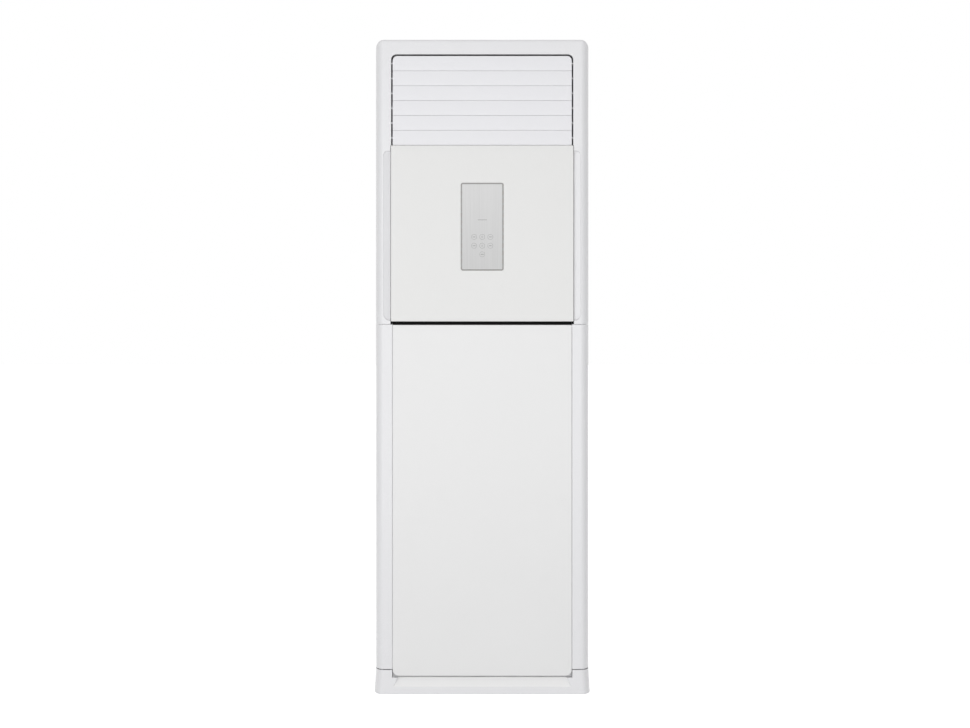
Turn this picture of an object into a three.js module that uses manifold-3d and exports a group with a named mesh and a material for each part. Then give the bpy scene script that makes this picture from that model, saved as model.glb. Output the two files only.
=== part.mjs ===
// Floor standing cabinet air conditioner, in millimetres. The front faces -Y and +Z is up.
// The origin is the middle of the footprint, on the floor.
import * as THREE from 'three';
import { mergeVertices } from 'three/addons/utils/BufferGeometryUtils.js';
import Module from 'manifold-3d';

const wasm = await Module();
wasm.setup();

// ---------- driving dimensions ----------
const bodyWidth = 634;
const bodyHeight = 1938;
const footDepth = 456;
const footFlare = 4; // how far the base stands out of the body at the floor
const gap = 0.3; // between pieces that touch
const seam = 0.6; // visible joint between two mouldings
const baseSeam = 1.4; // groove between the columns and the base
const shellWall = 2.5; // plastic mouldings
const sheet = 1.5; // steel panels

const halfBody = bodyWidth / 2;
const frontY = -footDepth / 2 + 4; // flat front of the columns
const backY = footDepth / 2 - 2; // the wall bracket stands 2 mm out of the back
const columnCorner = { wide: 24, deep: 37 }; // rounding of the columns, seen from above
const topCorner = 22; // rounding of the cabinet's top corners, seen from the front
const topFrontEdge = 9;
const frontMouldingEnd = -60; // the mouldings wrap the sides back to here

const baseHeight = 73;
const columnTop = 1094;
const panelFrontY = frontY - 2;

const outlet = { half: 269.4, bottom: 1625, top: 1894, corner: 15 };
const middlePanel = { half: 270.4, bottom: 1102.8, top: 1624.2, thickness: 3, depth: 18 };
const lowerPanel = { half: 265, bottom: 54, top: 1092.5, corner: 17, thickness: 3, depth: 16 };
const grip = { inner: 271.6, outer: 292.5, bottom: 1105,
  top: 1608, depth: 17, rimDepth: 2, topCorner: 13, bottomCorner: 20 };
const display = { half: 62.7, bottom: 1254, top: 1512, corner: 6, border: 3 };

const louvre = { count: 6, pitch: 44.1, chord: 43.6, half: 265.2, axisY: frontY + 7 };
const louvreCrank = { reach: 14, restAngle: -50 };
const vane = { count: 8, pitch: 60, chord: 44, thickness: 1.8, bottom: 1640, top: 1872, axisY: -168 };
const vaneCrank = { reach: 18, motorX: 240 };

const fan = { z: 500, y: 45, radius: 172, width: 140, blades: 32, mouth: 142 };
const deck = { z: 958, thickness: 2 };
const coil = { half: 258, low: [-168, 1030], high: [196, 1575], thickness: 56 };
const pipeHole = { x: 205, z: 190, radius: 37.5 };

// ---------- finishes ----------
const finishes = {
  whiteMoulding: { color: 0xe9eaeb, roughness: 0.38, metalness: 0 },
  louvreMoulding: { color: 0xebebee, roughness: 0.42, metalness: 0 },
  panelMoulding: { color: 0xe8e8e6, roughness: 0.35, metalness: 0 },
  whiteSteel: { color: 0xe4e5e6, roughness: 0.45, metalness: 0 },
  displayFace: { color: 0xcfcfcf, roughness: 0.35, metalness: 0.6 },
  displayBorder: { color: 0x9a9a99, roughness: 0.4, metalness: 0.5 },
  greyPlastic: { color: 0x8d9093, roughness: 0.6, metalness: 0 },
  blackPlastic: { color: 0x26282a, roughness: 0.6, metalness: 0 },
  zincSteel: { color: 0xb4b8bb, roughness: 0.4, metalness: 0.9 },
  finAluminium: { color: 0xc9cdd0, roughness: 0.35, metalness: 1 },
  copper: { color: 0xb8693d, roughness: 0.3, metalness: 1 },
  boardGreen: { color: 0x2f6b46, roughness: 0.5, metalness: 0 },
  filterMesh: { color: 0x5f6a72, roughness: 0.8, metalness: 0 },
  hoseGrey: { color: 0xb9bcbe, roughness: 0.7, metalness: 0 },
  rubberBlack: { color: 0x1d1e1f, roughness: 0.85, metalness: 0 },
};

// ---------- helpers ----------
const unit = new THREE.Group();
unit.name = 'floor_standing_air_conditioner';

function solid(geometry) {
  const bare = geometry.index ? geometry.toNonIndexed() : geometry.clone();
  bare.deleteAttribute('normal');
  bare.deleteAttribute('uv');
  const merged = mergeVertices(bare, 1e-4);
  const vertProperties = merged.attributes.position.array;
  const triVerts = merged.index.array;
  return new wasm.Manifold(new wasm.Mesh({ numProp: 3, vertProperties, triVerts }));
}

function place(name, shape, finish) {
  const mesh = shape.getMesh();
  const geometry = new THREE.BufferGeometry();
  geometry.setAttribute('position', new THREE.BufferAttribute(new Float32Array(mesh.vertProperties), 3));
  geometry.setIndex(new THREE.BufferAttribute(new Uint32Array(mesh.triVerts), 1));
  geometry.computeVertexNormals();
  const piece = new THREE.Mesh(geometry, new THREE.MeshStandardMaterial(finishes[finish]));
  piece.name = name;
  unit.add(piece);
}

function block(x, y, z) {
  const box = new THREE.BoxGeometry(x[1] - x[0], y[1] - y[0], z[1] - z[0]);
  box.translate((x[0] + x[1]) / 2, (y[0] + y[1]) / 2, (z[0] + z[1]) / 2);
  return solid(box);
}

// An outline carried along an axis. Outlines are (x, y) along z, (x, z) along y and (y, z) along x.
function prism(axis, outline, from, to, curveSegments = 4) {
  const shape = outline instanceof THREE.Shape ?
    outline : new THREE.Shape(outline.map((p) => new THREE.Vector2(...p)));
  const run = new THREE.ExtrudeGeometry(shape, { depth: to - from, bevelEnabled: false, curveSegments });
  if (axis === 'z') run.translate(0, 0, from);
  if (axis === 'y') run.rotateX(Math.PI / 2).translate(0, to, 0);
  if (axis === 'x') {
    const basis = new THREE.Matrix4();
    basis.makeBasis(new THREE.Vector3(0, 1, 0), new THREE.Vector3(0, 0, 1), new THREE.Vector3(1, 0, 0));
    run.applyMatrix4(basis).translate(from, 0, 0);
  }
  return solid(run);
}

function rod(axis, radius, from, to, a, b, sides = 12) {
  const round = new THREE.CylinderGeometry(radius, radius, to - from, sides);
  if (axis === 'z') round.rotateX(Math.PI / 2).translate(a, b, (from + to) / 2);
  if (axis === 'y') round.translate(a, (from + to) / 2, b);
  if (axis === 'x') round.rotateZ(Math.PI / 2).translate((from + to) / 2, a, b);
  return solid(round);
}

// A profile of [radius, distance] points turned about an axis along +Y through (x, z).
function turned(profile, x, z, sides = 24) {
  const points = profile.map((p) => new THREE.Vector2(...p));
  const made = solid(new THREE.LatheGeometry(points, sides).translate(x, 0, z));
  return made.volume() > 0 ? made :
    solid(new THREE.LatheGeometry(points.reverse(), sides).translate(x, 0, z));
}

function tube(points, radius, sides = 8, steps = 30) {
  const route = points.map((p) => new THREE.Vector3(...p));
  const path = new THREE.CatmullRomCurve3(route, false, 'centripetal');
  const ring = new THREE.Shape();
  ring.absarc(0, 0, radius, 0, 2 * Math.PI);
  return solid(new THREE.ExtrudeGeometry(ring, { extrudePath: path, steps, curveSegments: sides }));
}

// A rectangle with its corners rounded: radii for bottom-left, bottom-right, top-right, top-left.
function rounded(x0, x1, z0, z1, radii) {
  const [a, b, c, d] = radii;
  const shape = new THREE.Shape();
  shape.moveTo(x0 + a, z0);
  shape.lineTo(x1 - b, z0);
  if (b) shape.absarc(x1 - b, z0 + b, b, -Math.PI / 2, 0);
  shape.lineTo(x1, z1 - c);
  if (c) shape.absarc(x1 - c, z1 - c, c, 0, Math.PI / 2);
  shape.lineTo(x0 + d, z1);
  if (d) shape.absarc(x0 + d, z1 - d, d, Math.PI / 2, Math.PI);
  shape.lineTo(x0, z0 + a);
  if (a) shape.absarc(x0 + a, z0 + a, a, Math.PI, 1.5 * Math.PI);
  return shape;
}

const louvreHeight = (i) => outlet.bottom + louvre.pitch * (louvre.count - i - 0.5);

const mirrored = (shape) => shape.mirror([1, 0, 0]);

// The cabinet's outer form, drawn in by an inset: what its plan, front and side outlines share.
function cabinet(inset, backTo) {
  const w = halfBody - inset;
  const f = frontY + inset;
  const plan = new THREE.Shape();
  plan.moveTo(-w, backTo);
  plan.lineTo(-w, frontY + columnCorner.deep);
  const rx = columnCorner.wide - inset;
  const ry = columnCorner.deep - inset;
  plan.absellipse(-w + rx, f + ry, rx, ry, Math.PI, 1.5 * Math.PI);
  plan.lineTo(w - rx, f);
  plan.absellipse(w - rx, f + ry, rx, ry, 1.5 * Math.PI, 2 * Math.PI);
  plan.lineTo(w, backTo);
  const top = bodyHeight - inset;
  const corner = topCorner - inset;
  const edge = topFrontEdge - inset;
  const front = rounded(-w, w, 0, top, [0, 0, corner, corner]);
  const side = rounded(f, backTo, 0, top, [0, 0, 0, edge]);
  return prism('z', plan, 0, top, 7)
    .intersect(prism('y', front, f, backTo, 6))
    .intersect(prism('x', side, -w, w, 4));
}

// ---------- base ----------
const footWidth = bodyWidth + 2 * footFlare;
const recess = { halfTop: 250, halfLow: 262, top: 51, crease: 22, slopeBack: -213,
  back: -205, panelHalf: 266.4 };

// The plinth's outer form: the body's plan, drawn out a little towards the floor.
function footing(inset, backTo) {
  const slice = (flare, low, high) => {
    const w = halfBody + flare - inset;
    const f = frontY - flare + inset;
    const { wide, deep } = columnCorner;
    const plan = new THREE.Shape();
    plan.moveTo(-w, backTo);
    plan.lineTo(-w, f + deep - inset);
    plan.absellipse(-w + wide - inset, f + deep - inset, wide - inset, deep - inset, Math.PI, 1.5 * Math.PI);
    plan.lineTo(w - wide + inset, f);
    plan.absellipse(w - wide + inset, f + deep - inset, wide - inset, deep - inset,
      1.5 * Math.PI, 2 * Math.PI);
    plan.lineTo(w, backTo);
    return prism('z', plan, low, high, 7);
  };
  const top = baseHeight - baseSeam;
  return wasm.Manifold.hull([slice(footFlare, 0, 3), slice(0, top - 1, top)]);
}

function recessCut(grow) {
  const { halfTop, halfLow, top, crease, slopeBack, back, panelHalf } = recess;
  const g = grow;
  const out = -260;
  const low = crease - g;
  const corners = [];
  for (const side of [-1, 1]) {
    corners.push([side * (halfTop + g), slopeBack + g, top + 40],
      [side * (halfTop + g), slopeBack + g, top - g]);
    corners.push([side * (halfLow + g), frontY - g, low], [side * (halfLow + g), out, low]);
    corners.push([side * (halfLow + g), out, top + 40], [side * (halfLow + g), frontY - g, top + 40]);
  }
  const wedge = wasm.Manifold.hull(corners);
  const behindPanel = block([-panelHalf - g, panelHalf + g], [out, back + g], [top - g, baseHeight + 40]);
  return wedge.add(behindPanel);
}

{
  const back = frontMouldingEnd - gap;
  const wall = 3;
  const outer = footing(0, back);
  const inner = footing(wall, back + 50);
  const hollow = inner.translate([0, 0, -1]).add(inner.translate([0, 0, 1]));
  const pocket = recessCut(0);
  const skin = outer.subtract(hollow).add(recessCut(wall).intersect(outer));
  place('plinth', skin.subtract(pocket), 'whiteMoulding');
}

// The base pan carries the machine: a steel tray whose rim stands on the floor and shows
// behind the plinth. Its floor is raised, and reaches forward inside the plinth.
{
  const rimTop = baseHeight - baseSeam;
  const w = halfBody;
  const rear = block([-w, w], [frontMouldingEnd + gap, backY], [0, rimTop]);
  const inside = block([-w + sheet, w - sheet], [frontMouldingEnd - 50, backY - sheet], [-1, rimTop + 1]);
  const tray = block([-w + 4, w - 4], [frontMouldingEnd - 118, backY - 1], [14, 16]);
  const lip = block([-w + 6, w - 6], [frontMouldingEnd - 118, frontMouldingEnd - 116], [14, 40]);
  const rails = [-200, 200].map((x) => block([x - 20, x + 20], [-150, 215], [0, 15]));
  place('base_pan', rails.reduce((all, r) => all.add(r),
    rear.subtract(inside).add(tray).add(lip)), 'zincSteel');
}

// ---------- front mouldings ----------
const bandFrom = (shape, low, high) => shape.trimByPlane([0, 0, 1], low).trimByPlane([0, 0, -1], -high);
const mouldingShell = cabinet(0, frontMouldingEnd).subtract(cabinet(shellWall, frontMouldingEnd + 50));

// The upper frame goes round the outlet and the middle panel. Its opening has a return
// flange, and beside the panel a grip is sunk into each column.
{
  const { half, corner } = outlet;
  const windowTop = middlePanel.top + gap;
  // the outlet's opening, and below it the slightly wider window that the middle panel fills
  const openingPrism = (grow, front, rear) => {
    const upper = rounded(-half - grow, half + grow, columnTop - 30, outlet.top + grow,
      [0, 0, corner + grow, corner + grow]);
    const wide = grip.inner + grow;
    return prism('y', upper, front, rear)
      .add(block([-wide, wide], [front, rear], [columnTop - 30, windowTop]));
  };
  const flangeBack = frontY + 34;
  let frame = mouldingShell.add(openingPrism(2, frontY + 1, flangeBack));
  frame = bandFrom(frame, columnTop + seam, bodyHeight);
  const g = grip;
  const pocket = (grow) => {
    const outline = rounded(g.inner - 6, g.outer + grow, g.bottom - grow, g.top + grow,
      [0, g.bottomCorner + grow, g.topCorner + grow, 0]);
    const floor = [[g.inner - 6, frontY - 20],
      [g.outer + grow, frontY - 20], [g.outer + grow, frontY + g.rimDepth + grow],
      [g.inner - 6, frontY + g.depth + grow]];
    return prism('y', outline, frontY - 20, frontY + g.depth + grow).intersect(prism('z', floor, 1000, 1700));
  };
  for (const side of [1, -1]) {
    const cup = side > 0 ? pocket(2) : mirrored(pocket(2));
    const cut = side > 0 ? pocket(0) : mirrored(pocket(0));
    frame = frame.add(cup.intersect(cabinet(0.5, 0))).subtract(cut);
  }
  frame = frame.subtract(openingPrism(0, frontY - 20, frontMouldingEnd + 5));
  // bearing holes for the louvre pins
  for (let i = 0; i < louvre.count; i += 1) {
    const z = louvreHeight(i);
    frame = frame.subtract(rod('x', 2.7, -half - 5, half + 5, louvre.axisY, z, 8));
  }
  place('upper_front_frame', frame, 'whiteMoulding');
}

// Each lower column is a channel with the air intake cut in its side.
const intake = { y: [-172, -84], z: [130, 930] };
{
  const inner = recess.panelHalf;
  const returnWall = block([inner, inner + shellWall], [frontY + 1, frontY + 40], [0, columnTop]);
  const keep = block([inner, halfBody + 1], [frontY - 5, frontMouldingEnd], [baseHeight, columnTop]);
  const shell = mouldingShell.add(returnWall);
  const open = block([halfBody - 20, halfBody + 5], intake.y, intake.z);
  const column = shell.intersect(keep).subtract(open);
  place('right_lower_column', column, 'whiteMoulding');
  place('left_lower_column', mirrored(column), 'whiteMoulding');
}

// The intake grilles: a rim and level slats, set in the column's side.
{
  const [y0, y1] = [intake.y[0] + gap, intake.y[1] - gap];
  const [z0, z1] = [intake.z[0] + gap, intake.z[1] - gap];
  const x = [halfBody - 5, halfBody - 0.4];
  const rim = block(x, [y0, y1], [z0, z1])
    .subtract(block([x[0] - 5, x[1] + 5], [y0 + 5, y1 - 5], [z0 + 5, z1 - 5]));
  const slats = 26;
  let grille = rim;
  for (let i = 1; i < slats; i += 1) {
    const z = z0 + ((z1 - z0) * i) / slats;
    grille = grille.add(block([x[0] + 0.5, x[1] - 0.5], [y0 + 1, y1 - 1], [z - 1.5, z + 1.5]));
  }
  place('right_intake_grille', grille, 'greyPlastic');
  place('left_intake_grille', mirrored(grille), 'greyPlastic');
}

// ---------- panels ----------
// A panel is a tray: a front plate with a rim turned back.
function tray(outline, inner, front, thickness, depth) {
  const whole = prism('y', outline, front, front + depth);
  return whole.subtract(prism('y', inner, front + thickness, front + depth + 1));
}

{
  const { half, bottom, top, thickness, depth } = middlePanel;
  const d = display;
  const outline = rounded(-half, half, bottom, top, [2, 2, 2, 2]);
  const inner = rounded(-half + 3, half - 3, bottom + 3, top - 3, [0, 0, 0, 0]);
  const well = rounded(-d.half, d.half, d.bottom, d.top, [d.corner, d.corner, d.corner, d.corner]);
  const back = block([-d.half - 3, d.half + 3],
    [panelFrontY + thickness - 1, panelFrontY + 7], [d.bottom - 3, d.top + 3]);
  const hole = block([-d.half + 9, d.half - 9],
    [panelFrontY - 5, panelFrontY + 20], [d.bottom + 9, d.top - 9]);
  const panel = tray(outline, inner, panelFrontY, thickness, depth).add(back)
    .subtract(prism('y', well, panelFrontY - 5, panelFrontY + 4.5)).subtract(hole);
  place('middle_panel', panel, 'panelMoulding');

  // the border and the plate lie in the well, and the board is fixed behind
  const e = d.half - gap;
  const low = d.bottom + gap;
  const high = d.top - gap;
  const c = d.corner;
  const b = d.border;
  const borderOuter = rounded(-e, e, low, high, [c, c, c, c]);
  const borderInner = rounded(-e + b, e - b, low + b, high - b, [c - b, c - b, c - b, c - b]);
  const border = prism('y', borderOuter, panelFrontY + 0.6, panelFrontY + 4.2)
    .subtract(prism('y', borderInner, panelFrontY - 5, panelFrontY + 9));
  place('display_bezel', border, 'displayBorder');
  const face = rounded(-e + b + gap, e - b - gap, low + b + gap, high - b - gap, [3, 3, 3, 3]);
  place('display_plate', prism('y', face, panelFrontY + 0.3, panelFrontY + 4.2), 'displayFace');
  const board = block([-d.half + 11, d.half - 11],
    [panelFrontY + 5, panelFrontY + 7], [d.bottom + 11, d.top - 11]);
  const chips = [-30, 0, 30].map((dz) =>
    block([-14, 14], [panelFrontY + 6.5, panelFrontY + 10], [1340 + dz * 2, 1352 + dz * 2]));
  place('display_board', chips.reduce((all, chip) => all.add(chip), board), 'boardGreen');
}

{
  const { half, bottom, top, corner, thickness, depth } = lowerPanel;
  const outline = rounded(-half, half, bottom, top, [corner, corner, 2, 2]);
  const inner = rounded(-half + 3, half - 3, bottom + 3, top - 3, [corner - 3, corner - 3, 0, 0]);
  let panel = tray(outline, inner, panelFrontY, thickness, depth);
  for (const z of [300, 560, 820]) {
    panel = panel.add(block([-half + 2, half - 2], [panelFrontY + 2, panelFrontY + 9], [z - 1.5, z + 1.5]));
  }
  place('lower_panel', panel, 'panelMoulding');
}

// ---------- steel casing ----------
const casingFront = frontMouldingEnd + gap;
const casingTop = 1904; // the top cover's skirt comes down to here

{
  const w = halfBody;
  const sidePanel = block([w - sheet, w], [casingFront, backY - sheet - gap], [baseHeight, casingTop - gap])
    .add(block([w - 12, w], [casingFront, casingFront + sheet], [baseHeight, casingTop - gap]))
    .add(block([w - 12, w], [backY - 2 * sheet - gap, backY - sheet - gap], [baseHeight, casingTop - gap]));
  place('right_side_panel', sidePanel, 'whiteSteel');
  place('left_side_panel', mirrored(sidePanel), 'whiteSteel');

  const plate = block([-w, w], [backY - sheet, backY], [baseHeight, casingTop - gap]);
  const pipes = rod('y', pipeHole.radius, backY - 10, backY + 10, pipeHole.x, pipeHole.z, 32);
  const cord = rod('y', 12, backY - 10, backY + 10, -200, 150, 16);
  place('back_panel', plate.subtract(pipes).subtract(cord), 'whiteSteel');

  const skirt = (inset) => rounded(-w + inset, w - inset, casingTop - inset * 20, bodyHeight - inset,
    [0, 0, topCorner - inset, topCorner - inset]);
  const cover = prism('y', skirt(0), casingFront, backY)
    .subtract(prism('y', skirt(sheet), casingFront - 5, backY - sheet));
  place('top_cover', cover, 'whiteSteel');
}

{
  const plate = block([-40, 40], [backY + gap, footDepth / 2], [1840, 1898]);
  const slot = block([-4, 4], [backY - 5, footDepth], [1856, 1884]);
  place('anti_tip_bracket',
    plate.subtract(slot.translate([-22, 0, 0])).subtract(slot.translate([22, 0, 0])),
    'zincSteel');
  const gland = [[5, backY + 2], [16, backY + 2], [16, backY + 0.4],
    [11, backY + 0.4], [11, backY - 18], [5, backY - 18]];
  place('cord_gland', turned([...gland, gland[0]], -200, 150, 16), 'blackPlastic');
}

// ---------- fan chamber ----------
const discharge = { inner: 65, outer: 262 };
const scroll = { front: -52, back: 128, wall: 2 };
const inletPlate = { front: -58, back: -56 };

// The scroll's outline widens from the cut-off, clockwise from the front, to the discharge.
function scrollOutline(grow, top) {
  const points = [[discharge.outer + grow, top]];
  const turns = 24;
  const sweep = (290 / 180) * Math.PI;
  for (let i = 0; i <= turns; i += 1) {
    const angle = (-sweep * i) / turns;
    const radius = discharge.outer - (72 * i) / turns + grow;
    points.push([radius * Math.cos(angle), fan.z + radius * Math.sin(angle)]);
  }
  points.push([discharge.inner - grow, top]);
  return points.reverse();
}

{
  const casing = prism('y', scrollOutline(scroll.wall, deck.z - gap), scroll.front, scroll.back);
  const hollow = prism('y', scrollOutline(0, deck.z + 50),
    scroll.front + scroll.wall, scroll.back - scroll.wall);
  const mouth = rod('y', fan.mouth + 10, scroll.front - 5, scroll.front + 20, 0, fan.z, 32);
  const motorHole = rod('y', 40, scroll.back - 20, scroll.back + 5, 0, fan.z, 16);
  place('fan_scroll', casing.subtract(hollow).subtract(mouth).subtract(motorHole), 'zincSteel');
}

// The inlet plate closes the fan chamber. Its bell mouth leads into the wheel, and the rails
// on its front hold the air filter.
{
  const plate = block([-302, 302], [inletPlate.front, inletPlate.back], [76, 955]);
  const hole = rod('y', fan.mouth, inletPlate.front - 5, inletPlate.back + 5, 0, fan.z, 32);
  const f = inletPlate.front;
  const bell = [[fan.mouth + 8, f + 1], [fan.mouth - 3, f + 1],
    [fan.mouth - 9, f + 10], [fan.mouth - 11, f + 28],
    [fan.mouth - 8, f + 28], [fan.mouth - 6, f + 11]];
  const bellMouth = turned([...bell, bell[0]], 0, fan.z, 32);
  const rail = block([265, 268], [-92, f + 1], [108, 800]).add(block([254, 268], [-92, -89], [108, 800]));
  const ledge = block([-268, 268], [-92, f + 1], [108, 112]);
  const front = plate.subtract(hole).add(bellMouth).add(rail).add(mirrored(rail)).add(ledge);
  place('inlet_ring', front, 'zincSteel');
}

{
  const y0 = fan.y - fan.width / 2;
  const y1 = fan.y + fan.width / 2;
  const inner = fan.radius - 27;
  const disc = rod('y', fan.radius, y1 - 3, y1, 0, fan.z, 48);
  const ring = rod('y', fan.radius, y0, y0 + 5, 0, fan.z, 48)
    .subtract(rod('y', inner, y0 - 5, y0 + 9, 0, fan.z, 48));
  const hub = rod('y', 24, y1 - 34, y1, 0, fan.z, 16);
  let wheel = disc.add(ring).add(hub);
  for (let i = 0; i < fan.blades; i += 1) {
    const blade = block([inner + 1, fan.radius - 2], [y0 + 1, y1 - 1], [-0.9, 0.9])
      .translate([-(inner + 13), 0, 0]).rotate([0, 32, 0]).translate([inner + 13, 0, 0])
      .rotate([0, (360 * i) / fan.blades, 0]).translate([0, 0, fan.z]);
    wheel = wheel.add(blade);
  }
  place('fan_wheel', wheel.subtract(rod('y', 8.4, y1 - 60, y1 + 20, 0, fan.z, 16)), 'blackPlastic');
  place('fan_shaft', rod('y', 8, y1 - 40, 178, 0, fan.z, 16), 'zincSteel');
}

{
  const m = { front: 134, back: 206, radius: 68, bore: 8.6 };
  const body = [[m.bore, m.front], [52, m.front], [64, m.front + 8],
    [m.radius, m.front + 16], [m.radius, m.back - 14],
    [60, m.back - 4], [40, m.back], [0, m.back], [0, 182], [m.bore, 182]];
  place('fan_motor', turned([...body, body[0]], 0, fan.z, 24), 'blackPlastic');
  const plate = block([-120, 120], [scroll.back + gap, m.front - gap], [fan.z - 90, fan.z + 90]);
  place('motor_bracket', plate.subtract(rod('y', 30, 100, 160, 0, fan.z, 16)), 'zincSteel');
}

{
  const { z, thickness } = deck;
  const plate = block([-302, 302], [-182, backY - 4], [z, z + thickness]);
  const opening = block([discharge.inner, discharge.outer],
    [scroll.front + 2, scroll.back - 2], [z - 5, z + 9]);
  const pipes = block([272, 330], [120, 222], [z - 5, z + 9]);
  place('partition_deck', plate.subtract(opening).subtract(pipes), 'zincSteel');
}

// The filter: a frame with ribs and a thin net, standing on the ledge between the rails.
{
  const f = { half: 262, y: [-86, -78], z: [112.4, 790] };
  const frame = block([-f.half, f.half], f.y, f.z)
    .subtract(block([-f.half + 12, f.half - 12], [f.y[0] - 5, f.y[1] + 5], [f.z[0] + 12, f.z[1] - 12]));
  let filter = frame.add(block([-f.half + 2, f.half - 2], [-82.5, -81.5], [f.z[0] + 2, f.z[1] - 2]));
  for (const x of [-130, 0, 130])
    filter = filter.add(block([x - 2, x + 2], [-85, -79], [f.z[0] + 2, f.z[1] - 2]));
  for (const z of [280, 450, 620])
    filter = filter.add(block([-f.half + 2, f.half - 2], [-85, -79], [z - 2, z + 2]));
  place('air_filter', filter, 'filterMesh');
}

// ---------- electric box ----------
{
  const box = { x: [-60, 240], y: [-150, -58.4], z: [840, 950] };
  const inner = block([box.x[0] + sheet, box.x[1] - sheet],
    [box.y[0] - 5, box.y[1] - sheet], [box.z[0] + sheet, box.z[1] - sheet]);
  place('electric_box', block(box.x, box.y, box.z).subtract(inner), 'zincSteel');
  const lid = block([box.x[0] - 2, box.x[1] + 2], [box.y[0] - 12, box.y[0] + 8], [box.z[0] - 2, box.z[1] + 2])
    .subtract(block([box.x[0] - 0.4, box.x[1] + 0.4],
    [box.y[0] - 10, box.y[0] + 9], [box.z[0] - 0.4, box.z[1] + 0.4]));
  place('electric_box_cover', lid, 'zincSteel');
  let board = block([20, 230], [-68, -66], [850, 942]);
  for (const [x, wide, tall] of [[45, 30, 40], [95, 36, 30], [150, 40, 26], [200, 24, 34]]) {
    board = board.add(block([x - wide / 2, x + wide / 2], [-90, -67], [896 - tall / 2, 896 + tall / 2]));
  }
  place('control_board', board, 'boardGreen');
  let block6 = block([-48, 6], [-82, -60.4], [870, 892]);
  for (let i = 0; i < 5; i += 1)
    block6 = block6.add(block([-42 + i * 10, -38 + i * 10], [-86, -81], [872, 890]));
  place('terminal_block', block6, 'blackPlastic');
}

// ---------- coil, pan and pipes ----------
const coilRun = new THREE.Vector2(coil.high[0] - coil.low[0], coil.high[1] - coil.low[1]);
const coilLength = coilRun.length();
const along = coilRun.clone().normalize();
const across = new THREE.Vector2(along.y, -along.x); // towards the underside
const coilPoint = (distance, depth) => [
  coil.low[0] + along.x * distance + across.x * depth,
  coil.low[1] + along.y * distance + across.y * depth,
];
const coilOutline = (grow) => {
  const deep = coil.thickness / 2 + grow;
  const ends = [-grow / 2, coilLength + grow / 2];
  return [coilPoint(ends[0], -deep), coilPoint(ends[0], deep),
    coilPoint(ends[1], deep), coilPoint(ends[1], -deep)];
};

{
  let fins = prism('x', coilOutline(0), -coil.half, coil.half);
  const grooves = 24;
  const core = prism('x', coilOutline(-6), -coil.half - 5, coil.half + 5);
  for (let i = 0; i < grooves; i += 1) {
    const x = -coil.half + ((i + 0.5) * 2 * coil.half) / grooves;
    const slice = block([x - 2, x + 2], [-250, 250], [900, 1700]);
    fins = fins.subtract(slice.subtract(core));
  }
  place('coil_fins', fins, 'finAluminium');

  const bendRadius = 5;
  const reach = 20;
  for (const side of [-1, 1]) {
    const face = coil.half + gap;
    let end = prism('x', coilOutline(4), face, face + 2);
    for (const distance of side > 0 ? [70, 160, 500, 590] : [70, 160, 250, 340, 430, 520, 610]) {
      const [y0, z0] = coilPoint(distance, -13);
      const [y1, z1] = coilPoint(distance, 13);
      const [ym, zm] = coilPoint(distance, 0);
      const bend = [[face + 1, y0, z0], [face + reach * 0.6, y0, z0],
        [face + reach, ym, zm], [face + reach * 0.6, y1, z1], [face + 1, y1, z1]];
      end = end.add(tube(bend, bendRadius, 3, 5));
    }
    place(side > 0 ? 'coil_right_plate' : 'coil_left_plate', side > 0 ? end : mirrored(end), 'zincSteel');
  }

  const start = coil.half + gap + 2 + gap;
  const riser = 292;
  const gas = coilPoint(410, 0);
  const liquid = coilPoint(300, 0);
  const gasRoute = [[start, ...gas], [start + 16, ...gas],
    [riser, gas[0] + 12, gas[1] - 18], [riser, 150, 1180], [riser, 204, 1040],
    [riser, 206, 900], [riser, 206, 300], [282, 203, 222], [244, 196, 194], [206, 200, 191], [192, 216, 191]];
  const nut = (x, z, radius) => rod('y', radius, 205, 218, x, z, 6);
  place('gas_pipe', tube(gasRoute, 8, 4, 28).add(nut(192, 191, 13)), 'copper');
  const liquidRoute = [[start, ...liquid], [start + 16, ...liquid],
    [riser, liquid[0] + 12, liquid[1] - 18], [riser, 100, 1120],
    [riser, 180, 1010], [riser, 184, 900], [riser, 184, 320],
    [286, 186, 262], [258, 198, 234], [232, 205, 220], [224, 216, 216]];
  place('liquid_pipe', tube(liquidRoute, 5, 3, 30).add(nut(224, 216, 10)), 'copper');

  const pan = { x: 264, y: [-203, -118], z: [980, 1012] };
  const inside = block([-pan.x + 2, pan.x - 2], [pan.y[0] + 2, pan.y[1] - 2], [pan.z[0] + 2, pan.z[1] + 9]);
  const spigot = rod('x', 8, pan.x - 1, pan.x + 12, -150, 993, 12);
  const bore = rod('x', 5, pan.x - 9, pan.x + 20, -150, 993, 8);
  place('drain_pan',
    block([-pan.x, pan.x], pan.y, pan.z).subtract(inside).add(spigot).subtract(bore), 'blackPlastic');
  const hoseStart = pan.x + 12 + gap;
  const hoseRoute = [[hoseStart, -150, 993], [hoseStart + 8, -150, 993],
    [riser, -130, 988], [riser, 0, 980], [riser, 110, 976],
    [riser, 154, 950], [riser, 160, 880], [riser, 160, 300],
    [284, 164, 205], [252, 178, 172], [222, 190, 166], [212, 202, 166], [212, 214, 166]];
  place('drain_hose', tube(hoseRoute, 8, 4, 32), 'hoseGrey');
}

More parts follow.
